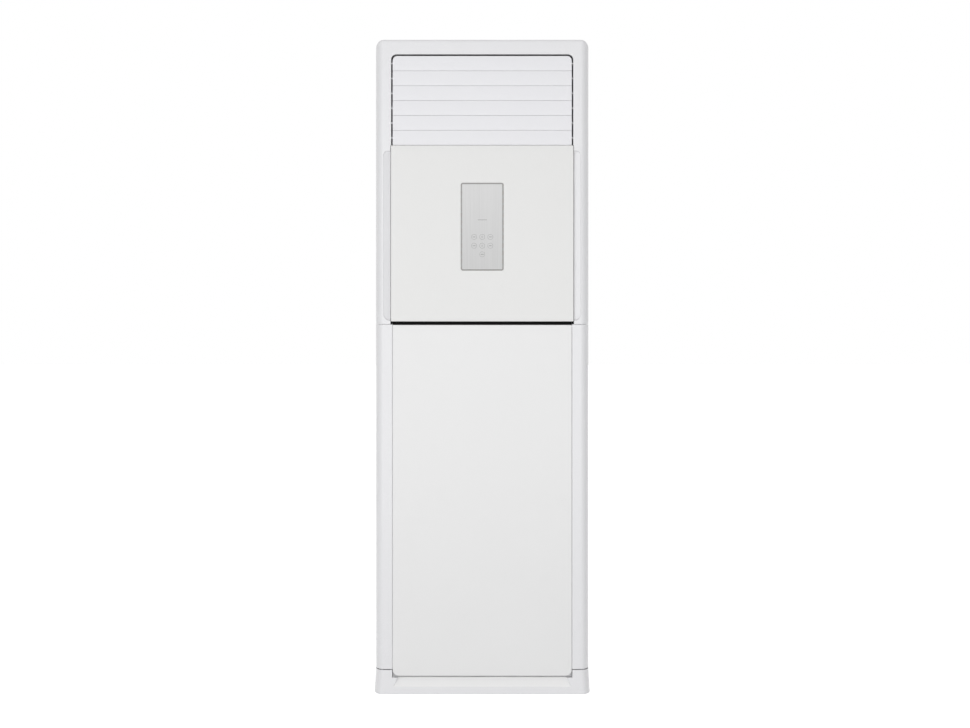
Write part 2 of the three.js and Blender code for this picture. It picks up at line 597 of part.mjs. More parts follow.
// ---------- outlet duct ----------
const duct = { half: 264, front: -189.5, back: 221, bottom: 1624, top: 1892 };
{
  const d = duct;
  const whole = block([-d.half, d.half], [d.front, d.back], [1560, d.top]);
  const inside = block([-d.half + 2, d.half - 2], [d.front - 5, d.back - 2], [d.bottom + 2, d.top - 2]);
  const below = block([-d.half + 2, d.half - 2], [-112, d.back - 2], [1500, d.bottom + 5]);
  const underFloor = block([-300, 300], [-300, -110], [1500, d.bottom]);
  const coilRoom = prism('x', coilOutline(14), -d.half - 5, d.half + 5);
  const walls = whole.subtract(inside).subtract(below).subtract(underFloor).subtract(coilRoom)
    .subtract(rod('z', 5, d.bottom - 5, d.bottom + 5, vaneCrank.motorX, vane.axisY, 12));
  place('outlet_duct', walls, 'whiteSteel');
}

// ---------- vanes ----------
const vaneXs = Array.from({ length: vane.count }, (_, i) => (i - (vane.count - 1) / 2) * vane.pitch);
const vanePin = { radius: 2, hole: 2.5, linkRadius: 1.6, linkHole: 2.1 };
{
  const rail = (z, xs) => {
    let bar = block([-258, 258], [vane.axisY - 10, vane.axisY + 10], z);
    for (const x of xs) bar = bar.subtract(rod('z', vanePin.hole, z[0] - 5, z[1] + 5, x, vane.axisY, 8));
    return bar;
  };
  place('vane_bottom_rail',
    rail([duct.bottom + 2.3, duct.bottom + 10], [...vaneXs, vaneCrank.motorX]), 'whiteMoulding');
  place('vane_top_rail', rail([duct.top - 12, duct.top - 2.3], vaneXs), 'whiteMoulding');

  const half = vane.chord / 2;
  const linkY = vane.axisY + vaneCrank.reach;
  const linkZ = [1630.5, 1634];
  vaneXs.forEach((x, i) => {
    const outline = [[x, vane.axisY - half], [x + vane.thickness / 2, vane.axisY - half + 8],
      [x + vane.thickness / 2, vane.axisY + half - 8],
      [x, vane.axisY + half], [x - vane.thickness / 2, vane.axisY + half - 8],
      [x - vane.thickness / 2, vane.axisY - half + 8]];
    const blade = prism('z', outline, vane.bottom, vane.top)
      .add(rod('z', vanePin.radius, 1628, vane.bottom + 6, x, vane.axisY, 8))
      .add(rod('z', vanePin.radius, vane.top - 6, duct.top - 4, x, vane.axisY, 8))
      .add(rod('z', vanePin.linkRadius, linkZ[0] - 1.5, vane.bottom + 6, x, linkY, 8));
    place(`vane_${i + 1}`, blade, 'whiteMoulding');
  });

  let link = block([vaneXs[0] - 5, vaneCrank.motorX + 5], [linkY - 4, linkY + 4], linkZ);
  for (const x of [...vaneXs, vaneCrank.motorX])
    link = link.subtract(rod('z', vanePin.linkHole, linkZ[0] - 5, linkZ[1] + 5, x, linkY, 8));
  place('vane_link', link, 'blackPlastic');

  const x = vaneCrank.motorX;
  const crank = block([x - 3, x + 3], [vane.axisY - 3, linkY + 3], [1635, 1638])
    .add(rod('z', vanePin.radius, 1606, 1637, x, vane.axisY, 8))
    .add(rod('z', vanePin.linkRadius, linkZ[0] - 1.5, 1637, x, linkY, 8));
  place('vane_motor_crank', crank, 'blackPlastic');
  const motor = rod('z', 18, 1600, duct.bottom - gap, x, vane.axisY, 20)
    .add(block([x - 24, x + 24], [vane.axisY - 5, vane.axisY + 5], [duct.bottom - 3, duct.bottom - gap]))
    .subtract(rod('z', 2.6, 1603, duct.bottom + 5, x, vane.axisY, 8));
  place('vane_motor', motor, 'zincSteel');
}

// ---------- louvres ----------
{
  const rest = (louvreCrank.restAngle / 180) * Math.PI;
  const pinOffset = [louvreCrank.reach * Math.cos(rest), louvreCrank.reach * Math.sin(rest)];
  const h = louvre.chord / 2;
  const section = [[-4.6, -8], [-4.6, 8], [-3.2, h], [-1.6, h],
    [1.6, 12], [1.6, -12], [-1.6, -h], [-3.2, -h]];
  const armX = [273.8, 276.8];
  const linkX = [277.8, 280.6];
  const arm = (y, z, x) => {
    const bar = block(x, [0, louvreCrank.reach + 3], [-3, 3]).rotate([louvreCrank.restAngle, 0, 0]);
    return bar.translate([0, y, z]).add(rod('x', 3.2, x[0], x[1], y, z, 12));
  };
  const pinHole = (y, z) => rod('x', 2.1, linkX[0] - 5, linkX[1] + 5, y + pinOffset[0], z + pinOffset[1], 8);
  const heights = Array.from({ length: louvre.count }, (_, i) => louvreHeight(i));
  const y = louvre.axisY;
  heights.forEach((z, i) => {
    const outline = section.map(([dy, dz]) => [y + dy, z + dz]).reverse();
    let blade = prism('x', outline, -louvre.half, louvre.half);
    if (i === 0) {
      const c = outlet.corner - 1;
      const top = rounded(-louvre.half, louvre.half, z - h - 5, z + h, [0, 0, c, c]);
      blade = blade.intersect(prism('y', top, y - 20, y + 20, 4));
    }
    blade = blade.add(rod('x', 2, -outlet.half - 1.6, -louvre.half + 3, y, z, 8))
      .add(rod('x', 2, louvre.half - 3, armX[1] - 1, y, z, 8))
      .add(arm(y, z, armX))
      .add(rod('x', 1.6, armX[0] + 1, linkX[1] + 0.6, y + pinOffset[0], z + pinOffset[1], 8));
    place(`louvre_${i + 1}`, blade, 'louvreMoulding');
  });

  const linkY = y + pinOffset[0];
  const motorAt = { y: -188, z: (heights[2] + heights[3]) / 2 };
  let link = block(linkX, [linkY - 3.5, linkY + 3.5],
    [heights[5] + pinOffset[1] - 5, heights[0] + pinOffset[1] + 5])
    .add(block(linkX, [linkY, motorAt.y + pinOffset[0] + 4],
    [motorAt.z + pinOffset[1] - 3.5, motorAt.z + pinOffset[1] + 3.5]));
  for (const z of heights) link = link.subtract(pinHole(y, z));
  place('louvre_link', link.subtract(pinHole(motorAt.y, motorAt.z)), 'blackPlastic');

  const crank = arm(motorAt.y, motorAt.z, [281.6, 284.4])
    .add(rod('x', 2, 282, 294, motorAt.y, motorAt.z, 8))
    .add(rod('x', 1.6, linkX[0] - 0.6, 283, motorAt.y + pinOffset[0], motorAt.z + pinOffset[1], 8));
  place('louvre_motor_crank', crank, 'blackPlastic');
  const motor = rod('x', 12, 286, 303, motorAt.y, motorAt.z, 20)
    .subtract(rod('x', 2.6, 280, 298, motorAt.y, motorAt.z, 8));
  place('louvre_motor', motor, 'zincSteel');
}

export default unit;
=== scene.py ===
import math

import bmesh
import bpy
import numpy as np
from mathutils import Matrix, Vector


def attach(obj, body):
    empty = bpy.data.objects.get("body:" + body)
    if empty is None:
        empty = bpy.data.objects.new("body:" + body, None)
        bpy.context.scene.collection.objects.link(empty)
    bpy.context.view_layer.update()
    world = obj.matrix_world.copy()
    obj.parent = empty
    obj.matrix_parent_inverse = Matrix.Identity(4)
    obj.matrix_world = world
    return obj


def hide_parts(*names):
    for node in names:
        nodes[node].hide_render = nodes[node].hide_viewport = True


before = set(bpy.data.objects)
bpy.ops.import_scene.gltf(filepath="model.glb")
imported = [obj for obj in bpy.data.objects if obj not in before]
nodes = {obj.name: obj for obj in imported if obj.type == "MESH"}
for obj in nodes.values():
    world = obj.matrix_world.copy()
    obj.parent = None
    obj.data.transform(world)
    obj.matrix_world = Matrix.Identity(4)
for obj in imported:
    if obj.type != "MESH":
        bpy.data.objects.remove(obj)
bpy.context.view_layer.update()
mm = 0.001
print("frame loaded:", len(nodes), "nodes")

scene = bpy.context.scene
scene.view_settings.view_transform = "Standard"

# ---- cabinet sizes that several pieces share, in mm ----
cabinet = {
    "half": 317.0,
    "front": -224.0,
    "top": 1938.0,
    "cornerWide": 24.0,
    "cornerDeep": 46.0,
    "topCorner": 22.0,
    "topEdge": 9.0,
    "mouldingEnd": -60.3,
    "seamHeight": 1094.0,
    "baseHeight": 73.0,
}
panelFront = cabinet["front"] - 2


# ---- surface helpers: every shape below is worked out in mm and stored in metres ----

# The quads that join each row of points to the next; keep is a mask of them.
def gridFaces(rows, columns, wrap, keep=None):
    across = columns if wrap else columns - 1
    i, j = np.meshgrid(np.arange(rows - 1), np.arange(across), indexing="ij")
    k = (j + 1) % columns
    near, far = i * columns, (i + 1) * columns
    quads = np.stack([near + j, far + j, far + k, near + k], axis=-1)
    return quads[keep] if keep is not None else quads.reshape(-1, 4)


def buildMesh(name, parts):
    mesh = bpy.data.meshes.new(name)
    points = []
    faces = []
    start = 0
    for part in parts:
        points.append(part["points"].reshape(-1, 3))
        faces += [[int(v) + start for v in face] for face in part["faces"]]
        start += len(points[-1])
    mesh.from_pydata((np.concatenate(points) * mm).tolist(), [], faces)
    shaped = bmesh.new()
    shaped.from_mesh(mesh)
    bmesh.ops.remove_doubles(shaped, verts=shaped.verts, dist=0.02 * mm)
    bmesh.ops.dissolve_degenerate(shaped, edges=shaped.edges, dist=0.01 * mm)
    bmesh.ops.recalc_face_normals(shaped, faces=shaped.faces)
    shaped.to_mesh(mesh)
    shaped.free()
    obj = bpy.data.objects.new(name, mesh)
    scene.collection.objects.link(obj)
    return obj


# A surface from rows of points. wrap closes each row round on itself, capStart and capEnd
# fill the first and the last row.
def surface(points, wrap=True, capStart=True, capEnd=True, keep=None):
    rows, columns = points.shape[:2]
    faces = gridFaces(rows, columns, wrap, keep).tolist()
    if capStart:
        faces.append(list(range(columns)))
    if capEnd:
        faces.append(list(range(rows * columns - 1, (rows - 1) * columns - 1, -1)))
    return {"points": points, "faces": faces}


# Rows that close on themselves, as round a frame.
def loopSurface(rows):
    return surface(np.concatenate([rows, rows[:1]]), capStart=False, capEnd=False)


# An open skin, which shell() gives its wall.
def sheetSurface(points, keep=None):
    return surface(points, wrap=False, capStart=False, capEnd=False, keep=keep)


def fullTurn(steps):
    return np.linspace(0, 2 * math.pi, steps, endpoint=False)


# Soft shading that breaks at real edges, with flat faces kept flat.
def smooth(obj, degrees=32):
    for face in obj.data.polygons:
        face.use_smooth = True
    obj.data.set_sharp_from_angle(angle=math.radians(degrees))
    weighted = obj.modifiers.new("Weighted Normal", "WEIGHTED_NORMAL")
    weighted.keep_sharp = True
    weighted.weight = 90
    return obj


# A rectangle with four corner arcs, anticlockwise from the bottom left; inset draws it in.
def roundedRing(x0, x1, z0, z1, radii, inset=0.0, perCorner=9):
    corners = [(x0, z0, 1, 1, 180), (x1, z0, -1, 1, 270), (x1, z1, -1, -1, 0), (x0, z1, 1, -1, 90)]
    ring = []
    for (cx, cz, sx, sz, start), radius in zip(corners, radii):
        r = max(radius - inset, 0.05)
        turn = np.radians(start + np.linspace(0, 90, perCorner))
        px = cx + sx * (inset + r) + r * np.cos(turn)
        pz = cz + sz * (inset + r) + r * np.sin(turn)
        ring.append(np.stack([px, pz], axis=1))
    return np.concatenate(ring)


# The outline of a piece on the front, from its sizes.
def frontRing(sizes, radii, inset=0.0):
    return roundedRing(-sizes["half"], sizes["half"], sizes["bottom"], sizes["top"], radii, inset)


# The signed distance from (x, z) to a rectangle round the origin with rounded corners.
def roundedDistance(x, z, halfX, halfZ, radius):
    reachX = np.abs(x) - (halfX - radius)
    reachZ = np.abs(z) - (halfZ - radius)
    beyond = np.hypot(np.maximum(reachX, 0), np.maximum(reachZ, 0))
    return beyond + np.minimum(np.maximum(reachX, reachZ), 0) - radius


# 0 outside an outline and 1 inside it, as 3 s^2 - 2 s^3 over a band of 'width'.
def easedInside(distance, width):
    inside = np.clip(-distance / width, 0, 1)
    return inside * inside * (3 - 2 * inside)


# Rings in the (x, z) plane, each set at its own depth y.
def ringStack(rings):
    return np.stack([np.insert(ring, 1, y, axis=1) for ring, y in rings])


# A quarter-round edge of radius r, as (inset, depth) pairs from the face to the side.
def quarterRound(r, steps=5):
    turn = np.radians(np.linspace(0, 90, steps))
    return [(r * (1 - math.sin(t)), r * (1 - math.cos(t))) for t in turn]


# A round bar from a to b with its rims eased.
def bar(a, b, radius, sides=16, ease=0.3):
    a, b = np.array(a, float), np.array(b, float)
    along = (b - a) / np.linalg.norm(b - a)
    helper = np.array([0, 0, 1.0]) if abs(along[2]) < 0.9 else np.array([1.0, 0, 0])
    u = np.cross(along, helper)
    u /= np.linalg.norm(u)
    v = np.cross(along, u)
    turn = fullTurn(sides)
    circle = np.cos(turn)[:, None] * u + np.sin(turn)[:, None] * v
    rows = [a + circle * (radius - ease), a + along * ease + circle * radius]
    rows += [b - along * ease + circle * radius, b + circle * (radius - ease)]
    return surface(np.stack(rows))


# An outline in (y, z) carried along x, with its end rims eased and more stations in between.
def runAlongX(outline, x0, x1, ease=0.5, between=()):
    centre = outline.mean(axis=0)
    drawn = centre + (outline - centre) * (1 - ease / np.abs(outline - centre).max())
    inside = [(x, outline) for x in between]
    rows = []
    for x, ring in [(x0, drawn), (x0 + ease, outline), *inside, (x1 - ease, outline), (x1, drawn)]:
        rows.append(np.column_stack([np.full(len(ring), x), ring]))
    return surface(np.stack(rows))


def standFor(obj, body, *names):
    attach(obj, body)
    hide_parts(*names)
    return obj


# ---- shader groups used by several materials ----
def newGroup(name, inputs, outputs):
    group = bpy.data.node_groups.new(name, "ShaderNodeTree")
    for label, kind, value in inputs:
        socket = group.interface.new_socket(label, in_out="INPUT", socket_type=kind)
        if value is not None:
            socket.default_value = value
    for label, kind in outputs:
        group.interface.new_socket(label, in_out="OUTPUT", socket_type=kind)
    return group, group.nodes.new("NodeGroupInput"), group.nodes.new("NodeGroupOutput")


def wire(tree, pairs):
    for a, b in pairs:
        tree.links.new(a, b)


def mathNode(tree, operation, a, b=None):
    node = tree.nodes.new("ShaderNodeMath")
    node.operation = operation
    for socket, value in zip(node.inputs, (a, b)):
        if value is None:
            continue
        if isinstance(value, (int, float)):
            socket.default_value = value
        else:
            tree.links.new(value, socket)
    return node.outputs[0]


# (value - 0.5) times amount: a pattern's swing round its middle.
def swingNode(tree, value, amount):
    return mathNode(tree, "MULTIPLY", mathNode(tree, "SUBTRACT", value, 0.5), amount)


def noiseNode(tree, vector, scale, detail=2.0, roughness=0.5):
    node = tree.nodes.new("ShaderNodeTexNoise")
    node.inputs["Detail"].default_value = detail
    node.inputs["Roughness"].default_value = roughness
    tree.links.new(vector, node.inputs["Vector"])
    if isinstance(scale, (int, float)):
        node.inputs["Scale"].default_value = scale
    else:
        tree.links.new(scale, node.inputs["Scale"])
    return node.outputs["Fac"]


def mixColor(tree, amount, a, b):
    node = tree.nodes.new("ShaderNodeMix")
    node.data_type = "RGBA"
    for socket, value in ((node.inputs[0], amount), (node.inputs[6], a), (node.inputs[7], b)):
        if hasattr(value, "is_linked"):
            tree.links.new(value, socket)
        else:
            socket.default_value = value
    return node.outputs[2]


# Moulded plastic: a spark-eroded grain for the bump, and soft mottling for colour and gloss.
def mouldedGroup():
    group, source, out = newGroup(
        "mouldedSurface",
        [("Color", "NodeSocketColor", (0.8, 0.8, 0.8, 1)), ("Grain Size", "NodeSocketFloat", 900.0),
         ("Mottle", "NodeSocketFloat", 0.02), ("Roughness", "NodeSocketFloat", 0.35)],
        [("Color", "NodeSocketColor"), ("Height", "NodeSocketFloat"), ("Roughness", "NodeSocketFloat")])
    where = group.nodes.new("ShaderNodeTexCoord").outputs["Object"]
    fine = noiseNode(group, where, source.outputs["Grain Size"], 3.0, 0.6)
    broad = noiseNode(group, where, 5.0, 3.0, 0.55)
    shade = swingNode(group, broad, source.outputs["Mottle"])
    tinted = group.nodes.new("ShaderNodeHueSaturation")
    wire(group, [(source.outputs["Color"], tinted.inputs["Color"]),
                 (mathNode(group, "ADD", shade, 1.0), tinted.inputs["Value"])])
    gloss = swingNode(group, fine, 0.10)
    patch = swingNode(group, broad, 0.12)
    rough = mathNode(group, "ADD", source.outputs["Roughness"], mathNode(group, "ADD", gloss, patch))
    wire(group, [(tinted.outputs["Color"], out.inputs["Color"]), (fine, out.inputs["Height"]),
                 (rough, out.inputs["Roughness"])])
    return group


# Settled dust: what faces up gathers a little grey, in patches.
def dustGroup():
    group, source, out = newGroup(
        "settledDust",
        [("Color", "NodeSocketColor", (0.8, 0.8, 0.8, 1)),
         ("Dust", "NodeSocketColor", (0.42, 0.4, 0.37, 1)), ("Amount", "NodeSocketFloat", 0.1)],
        [("Color", "NodeSocketColor"), ("Mask", "NodeSocketFloat")])
    normal = group.nodes.new("ShaderNodeSeparateXYZ")
    facing = group.nodes.new("ShaderNodeNewGeometry")
    where = group.nodes.new("ShaderNodeTexCoord").outputs["Object"]
    wire(group, [(facing.outputs["Normal"], normal.inputs[0])])
    up = mathNode(group, "MAXIMUM", normal.outputs["Z"], 0.0)
    patches = noiseNode(group, where, 38.0, 4.0, 0.6)
    mask = mathNode(group, "MULTIPLY", mathNode(group, "MULTIPLY", up, patches), source.outputs["Amount"])
    coloured = mixColor(group, mask, source.outputs["Color"], source.outputs["Dust"])
    wire(group, [(coloured, out.inputs["Color"]), (mask, out.inputs["Mask"])])
    return group


# Directional brushing: noise stretched a hundredfold along one axis. The two gradient inputs add painted
# light: the colour is lighter upwards, by 1 + slope (z - middle).
def brushedGroup():
    group, source, out = newGroup(
        "brushedLines",
        [("Color", "NodeSocketColor", (0.6, 0.6, 0.6, 1)),
         ("Stretch", "NodeSocketVector", (1400.0, 60.0, 9.0)),
         ("Contrast", "NodeSocketFloat", 0.12), ("Roughness", "NodeSocketFloat", 0.3),
         ("Fade", "NodeSocketFloat", 0.0), ("Painted Light Middle", "NodeSocketFloat", 1.383)],
        [("Color", "NodeSocketColor"), ("Height", "NodeSocketFloat"), ("Roughness", "NodeSocketFloat")])
    where = group.nodes.new("ShaderNodeTexCoord").outputs["Object"]
    height = group.nodes.new("ShaderNodeSeparateXYZ")
    wire(group, [(where, height.inputs[0])])
    above = mathNode(group, "SUBTRACT", height.outputs["Z"], source.outputs["Painted Light Middle"])
    paintedLight = mathNode(group, "MULTIPLY", above, source.outputs["Fade"])
    stretch = group.nodes.new("ShaderNodeVectorMath")
    stretch.operation = "MULTIPLY"
    wire(group, [(where, stretch.inputs[0]), (source.outputs["Stretch"], stretch.inputs[1])])
    lines = noiseNode(group, stretch.outputs[0], 1.0, 5.0, 0.62)
    swing = swingNode(group, lines, source.outputs["Contrast"])
    tinted = group.nodes.new("ShaderNodeHueSaturation")
    shade = mathNode(group, "ADD", mathNode(group, "ADD", swing, paintedLight), 1.0)
    wire(group, [(source.outputs["Color"], tinted.inputs["Color"]), (shade, tinted.inputs["Value"])])
    rough = mathNode(group, "ADD", source.outputs["Roughness"], mathNode(group, "MULTIPLY", swing, 0.6))
    wire(group, [(tinted.outputs["Color"], out.inputs["Color"]), (lines, out.inputs["Height"]),
                 (rough, out.inputs["Roughness"])])
    return group


# Galvanised steel: crystals of slightly different grey, one per Voronoi cell.
def spangleGroup():
    group, source, out = newGroup(
        "zincSpangle",
        [("Color", "NodeSocketColor", (0.5, 0.5, 0.5, 1)), ("Cells", "NodeSocketFloat", 90.0),
         ("Contrast", "NodeSocketFloat", 0.3), ("Roughness", "NodeSocketFloat", 0.35)],
        [("Color", "NodeSocketColor"), ("Height", "NodeSocketFloat"), ("Roughness", "NodeSocketFloat")])
    where = group.nodes.new("ShaderNodeTexCoord").outputs["Object"]
    cells = group.nodes.new("ShaderNodeTexVoronoi")
    split = group.nodes.new("ShaderNodeSeparateXYZ")
    wire(group, [(where, cells.inputs["Vector"]), (source.outputs["Cells"], cells.inputs["Scale"]),
                 (cells.outputs["Color"], split.inputs[0])])
    swing = swingNode(group, split.outputs["X"], source.outputs["Contrast"])
    tinted = group.nodes.new("ShaderNodeHueSaturation")
    wire(group, [(source.outputs["Color"], tinted.inputs["Color"]),
                 (mathNode(group, "ADD", swing, 1.0), tinted.inputs["Value"])])
    rough = mathNode(group, "ADD", source.outputs["Roughness"], mathNode(group, "MULTIPLY", swing, 0.35))
    fine = noiseNode(group, where, 400.0, 2.0)
    wire(group, [(tinted.outputs["Color"], out.inputs["Color"]), (fine, out.inputs["Height"]),
                 (rough, out.inputs["Roughness"])])
    return group


groups = {"moulded": mouldedGroup(), "dust": dustGroup(), "brushed": brushedGroup(),
          "spangle": spangleGroup()}


# One material: a pattern group, then settled dust, then the Principled shader.
def finish(name, pattern, color, roughness, metallic=0.0, bump=0.02, bumpDepth=0.0002, dust=0.08,
           specular=0.5, **settings):
    material = bpy.data.materials.new(name)
    material.use_nodes = True
    tree = material.node_tree
    shader = tree.nodes["Principled BSDF"]
    look = tree.nodes.new("ShaderNodeGroup")
    look.node_tree = groups[pattern]
    look.inputs["Color"].default_value = (*color, 1)
    look.inputs["Roughness"].default_value = roughness
    for label, value in settings.items():
        look.inputs[label].default_value = value
    settled = tree.nodes.new("ShaderNodeGroup")
    settled.node_tree = groups["dust"]
    settled.inputs["Amount"].default_value = dust
    raised = tree.nodes.new("ShaderNodeBump")
    raised.inputs["Strength"].default_value = bump
    raised.inputs["Distance"].default_value = bumpDepth
    shader.inputs["Metallic"].default_value = metallic
    shader.inputs["Specular IOR Level"].default_value = specular
    matt = mathNode(tree, "MULTIPLY", settled.outputs["Mask"], 0.5)
    rough = mathNode(tree, "ADD", look.outputs["Roughness"], matt)
    wire(tree, [(look.outputs["Color"], settled.inputs["Color"]),
                (settled.outputs["Color"], shader.inputs["Base Color"]), (rough, shader.inputs["Roughness"]),
                (look.outputs["Height"], raised.inputs["Height"]),
                (raised.outputs["Normal"], shader.inputs["Normal"])])
    return material


# ---- finishes: sRGB tints of the photographed plastic, as linear colours ----
def tint(r, g, b):
    return tuple(round(((v / 255 + 0.055) / 1.055) ** 2.4, 4) for v in (r, g, b))


fineGrain = {"bump": 0.05, "bumpDepth": 0.0001, "dust": 0.05}
# Each finish has a pattern, a colour and a roughness, then what differs from the plain finish.
looks = {
    "frameWhite": ("moulded", tint(229, 229, 231), 0.26, fineGrain),
    # a lighter copy of the frame's white: painted light on the toe slope's upward faces
    "toePaintedLight": ("moulded", tint(240, 240, 240), 0.34, fineGrain),
    "louvreWhite": ("moulded", tint(231, 231, 234), 0.4, {**fineGrain, "dust": 0.1}),
    "middleWhite": ("moulded", tint(226, 226, 225), 0.3, {**fineGrain, "bump": 0.04}),
    "lowerWhite": ("moulded", tint(230, 230, 230), 0.3, {**fineGrain, "bump": 0.04}),
    "steelWhite": ("moulded", tint(229, 230, 231), 0.42,
                   {"bump": 0.12, "dust": 0.12, "Grain Size": 320.0, "Mottle": 0.015}),
    "vaneWhite": ("moulded", tint(226, 227, 229), 0.45, {"dust": 0.15}),
    # displaySilver: brushed plate with painted light, lighter towards its top through the gradient inputs
    "displaySilver": ("brushed", tint(210, 210, 210), 0.42,
                      {"bump": 0.05, "bumpDepth": 0.00005, "dust": 0.0, "specular": 0.3, "Contrast": 0.26,
                       "Fade": 0.5, "Stretch": (700.0, 60.0, 4.0)}),
    "keyPrint": ("moulded", tint(138, 138, 138), 0.4, {"dust": 0.0}),
    "screwZinc": ("moulded", (0.55, 0.56, 0.57), 0.32, {"metallic": 0.9, "dust": 0.1}),
    # near-black strip in the finger slot: painted shade
    "slotShadeBlack": ("moulded", (0.008, 0.008, 0.008), 0.9, {"dust": 0.0, "specular": 0.1}),
    # near-black duct lining: painted shade, so the gap above the louvres reads dark
    "ductPaintedShade": ("moulded", (0.045, 0.046, 0.048), 0.75, {"bump": 0.2, "dust": 0.1}),
    "borderGrey": ("moulded", tint(150, 149, 147), 0.35, {"metallic": 0.2, "dust": 0.0}),
    "grilleGrey": ("moulded", tint(186, 188, 190), 0.5, {"dust": 0.35}),
    "blackPlastic": ("moulded", (0.022, 0.022, 0.024), 0.5, {"dust": 0.25}),
    "motorPaint": ("moulded", (0.03, 0.031, 0.034), 0.38, {"bump": 0.1, "dust": 0.3}),
    "zinc": ("spangle", (0.5, 0.52, 0.54), 0.42,
             {"metallic": 0.85, "dust": 0.2, "Cells": 210.0, "Contrast": 0.14}),
    "fins": ("brushed", (0.66, 0.68, 0.7), 0.34,
             {"metallic": 0.95, "dust": 0.1, "Stretch": (520.0, 6.0, 6.0), "Contrast": 0.35}),
    "copper": ("brushed", (0.62, 0.27, 0.14), 0.3,
               {"metallic": 1.0, "dust": 0.1, "Stretch": (60.0, 60.0, 60.0), "Contrast": 0.3}),
    "boardGreen": ("moulded", (0.02, 0.13, 0.055), 0.4, {"dust": 0.1}),
    "filterNet": ("moulded", (0.11, 0.13, 0.15), 0.7, {"dust": 0.3}),
    "hoseGrey": ("moulded", (0.5, 0.52, 0.53), 0.6, {"dust": 0.2}),
}
finishes = {name: finish(name, *look, **settings) for name, (*look, settings) in looks.items()}

nodeFinish = {
    "frameWhite": ["plinth", "upper_front_frame", "left_lower_column", "right_lower_column"],
    "vaneWhite": ["vane_top_rail", "vane_bottom_rail"] + [f"vane_{i}" for i in range(1, 9)],
    "louvreWhite": [f"louvre_{i}" for i in range(1, 7)],
    "middleWhite": ["middle_panel"],
    "lowerWhite": ["lower_panel"],
    "steelWhite": ["left_side_panel", "right_side_panel", "back_panel", "top_cover"],
    # the outlet duct's near-black is painted shade for the gap above the louvres
    "ductPaintedShade": ["outlet_duct"],
    "displaySilver": ["display_plate"],
    "borderGrey": ["display_bezel"],
    "grilleGrey": ["left_intake_grille", "right_intake_grille"],
    "blackPlastic": ["cord_gland", "fan_wheel", "drain_pan", "terminal_block", "vane_link",
                     "vane_motor_crank", "louvre_link", "louvre_motor_crank"],
    "motorPaint": ["fan_motor"],
    "zinc": ["base_pan", "anti_tip_bracket", "fan_scroll", "inlet_ring", "fan_shaft", "motor_bracket",
             "partition_deck", "electric_box", "electric_box_cover", "coil_left_plate", "coil_right_plate",
             "vane_motor", "louvre_motor"],
    "fins": ["coil_fins"],
    "copper": ["gas_pipe", "liquid_pipe"],
    "boardGreen": ["control_board", "display_board"],
    "filterNet": ["air_filter"],
    "hoseGrey": ["drain_hose"],
}


def dress(obj, finishName):
    obj.data.materials.clear()
    obj.data.materials.append(finishes[finishName])
    return obj


for finishName, members in nodeFinish.items():
    for member in members:
        dress(nodes[member], finishName)
print("finishes made:", len(finishes))

# ---- front mouldings ----
opening = {"half": 269.4, "top": 1894.0, "corner": 15.0, "windowHalf": 271.6, "windowTop": 1624.5,
           "back": -190.0}
grip = {"inner": 271.6, "outer": 292.5, "bottom": 1105.0, "top": 1608.0, "depth": 8.0, "rim": 1.4,
        "topCorner": 13.0, "bottomCorner": 20.0, "ease": 1.5}
wallThickness = 2.6


# How deep the grip is sunk at (x, z), in mm: its floor falls towards the panel, as
# rim + (depth - rim) (outer - |x|) / (outer - inner), inside an outline with round outer corners.
def gripDepth(x, z):
    across = np.abs(x)
    centreZ = (grip["bottom"] + grip["top"]) / 2
    radius = np.where(z > centreZ, grip["topCorner"], grip["bottomCorner"])
    halfHigh = (grip["top"] - grip["bottom"]) / 2
    distance = roundedDistance(across, z - centreZ, grip["outer"], halfHigh, radius)
    slope = np.clip((grip["outer"] - across) / (grip["outer"] - grip["inner"]), 0, 1)
    return easedInside(distance, grip["ease"]) * (grip["rim"] + (grip["depth"] - grip["rim"]) * slope)


# The plan of a column from its front to its side: an ellipse of cornerWide by cornerDeep.
def columnRounding(steps=12):
    return [(cabinet["cornerWide"] * (1 - math.sin(t)), cabinet["cornerDeep"] * (1 - math.cos(t)))
            for t in np.radians(np.linspace(0, 90, steps))]


# One line of the upper frame, from the foot of the right column over the top to the left.
# half and top place it, rx and rz round its corner, depth and depthTop are its y on the
# columns and along the top.
def frameLine(heights, half, top, rx, rz, depth, depthTop):
    turn = np.radians(np.linspace(0, 90, 13))
    arcX = half - rx + rx * np.cos(turn)
    arcZ = top - rz + rz * np.sin(turn)
    blend = depth + (depthTop - depth) * (turn / (math.pi / 2))
    across = np.linspace(half - rx, 0, 12)[1:]
    x = np.concatenate([np.full(len(heights), half), arcX, across])
    z = np.concatenate([heights, arcZ, np.full(len(across), top)])
    y = np.concatenate([np.full(len(heights), depth), blend, np.full(len(across), depthTop)])
    right = np.column_stack([x, y, z])
    left = right[-2::-1] * (-1, 1, 1)
    return np.concatenate([right, left])


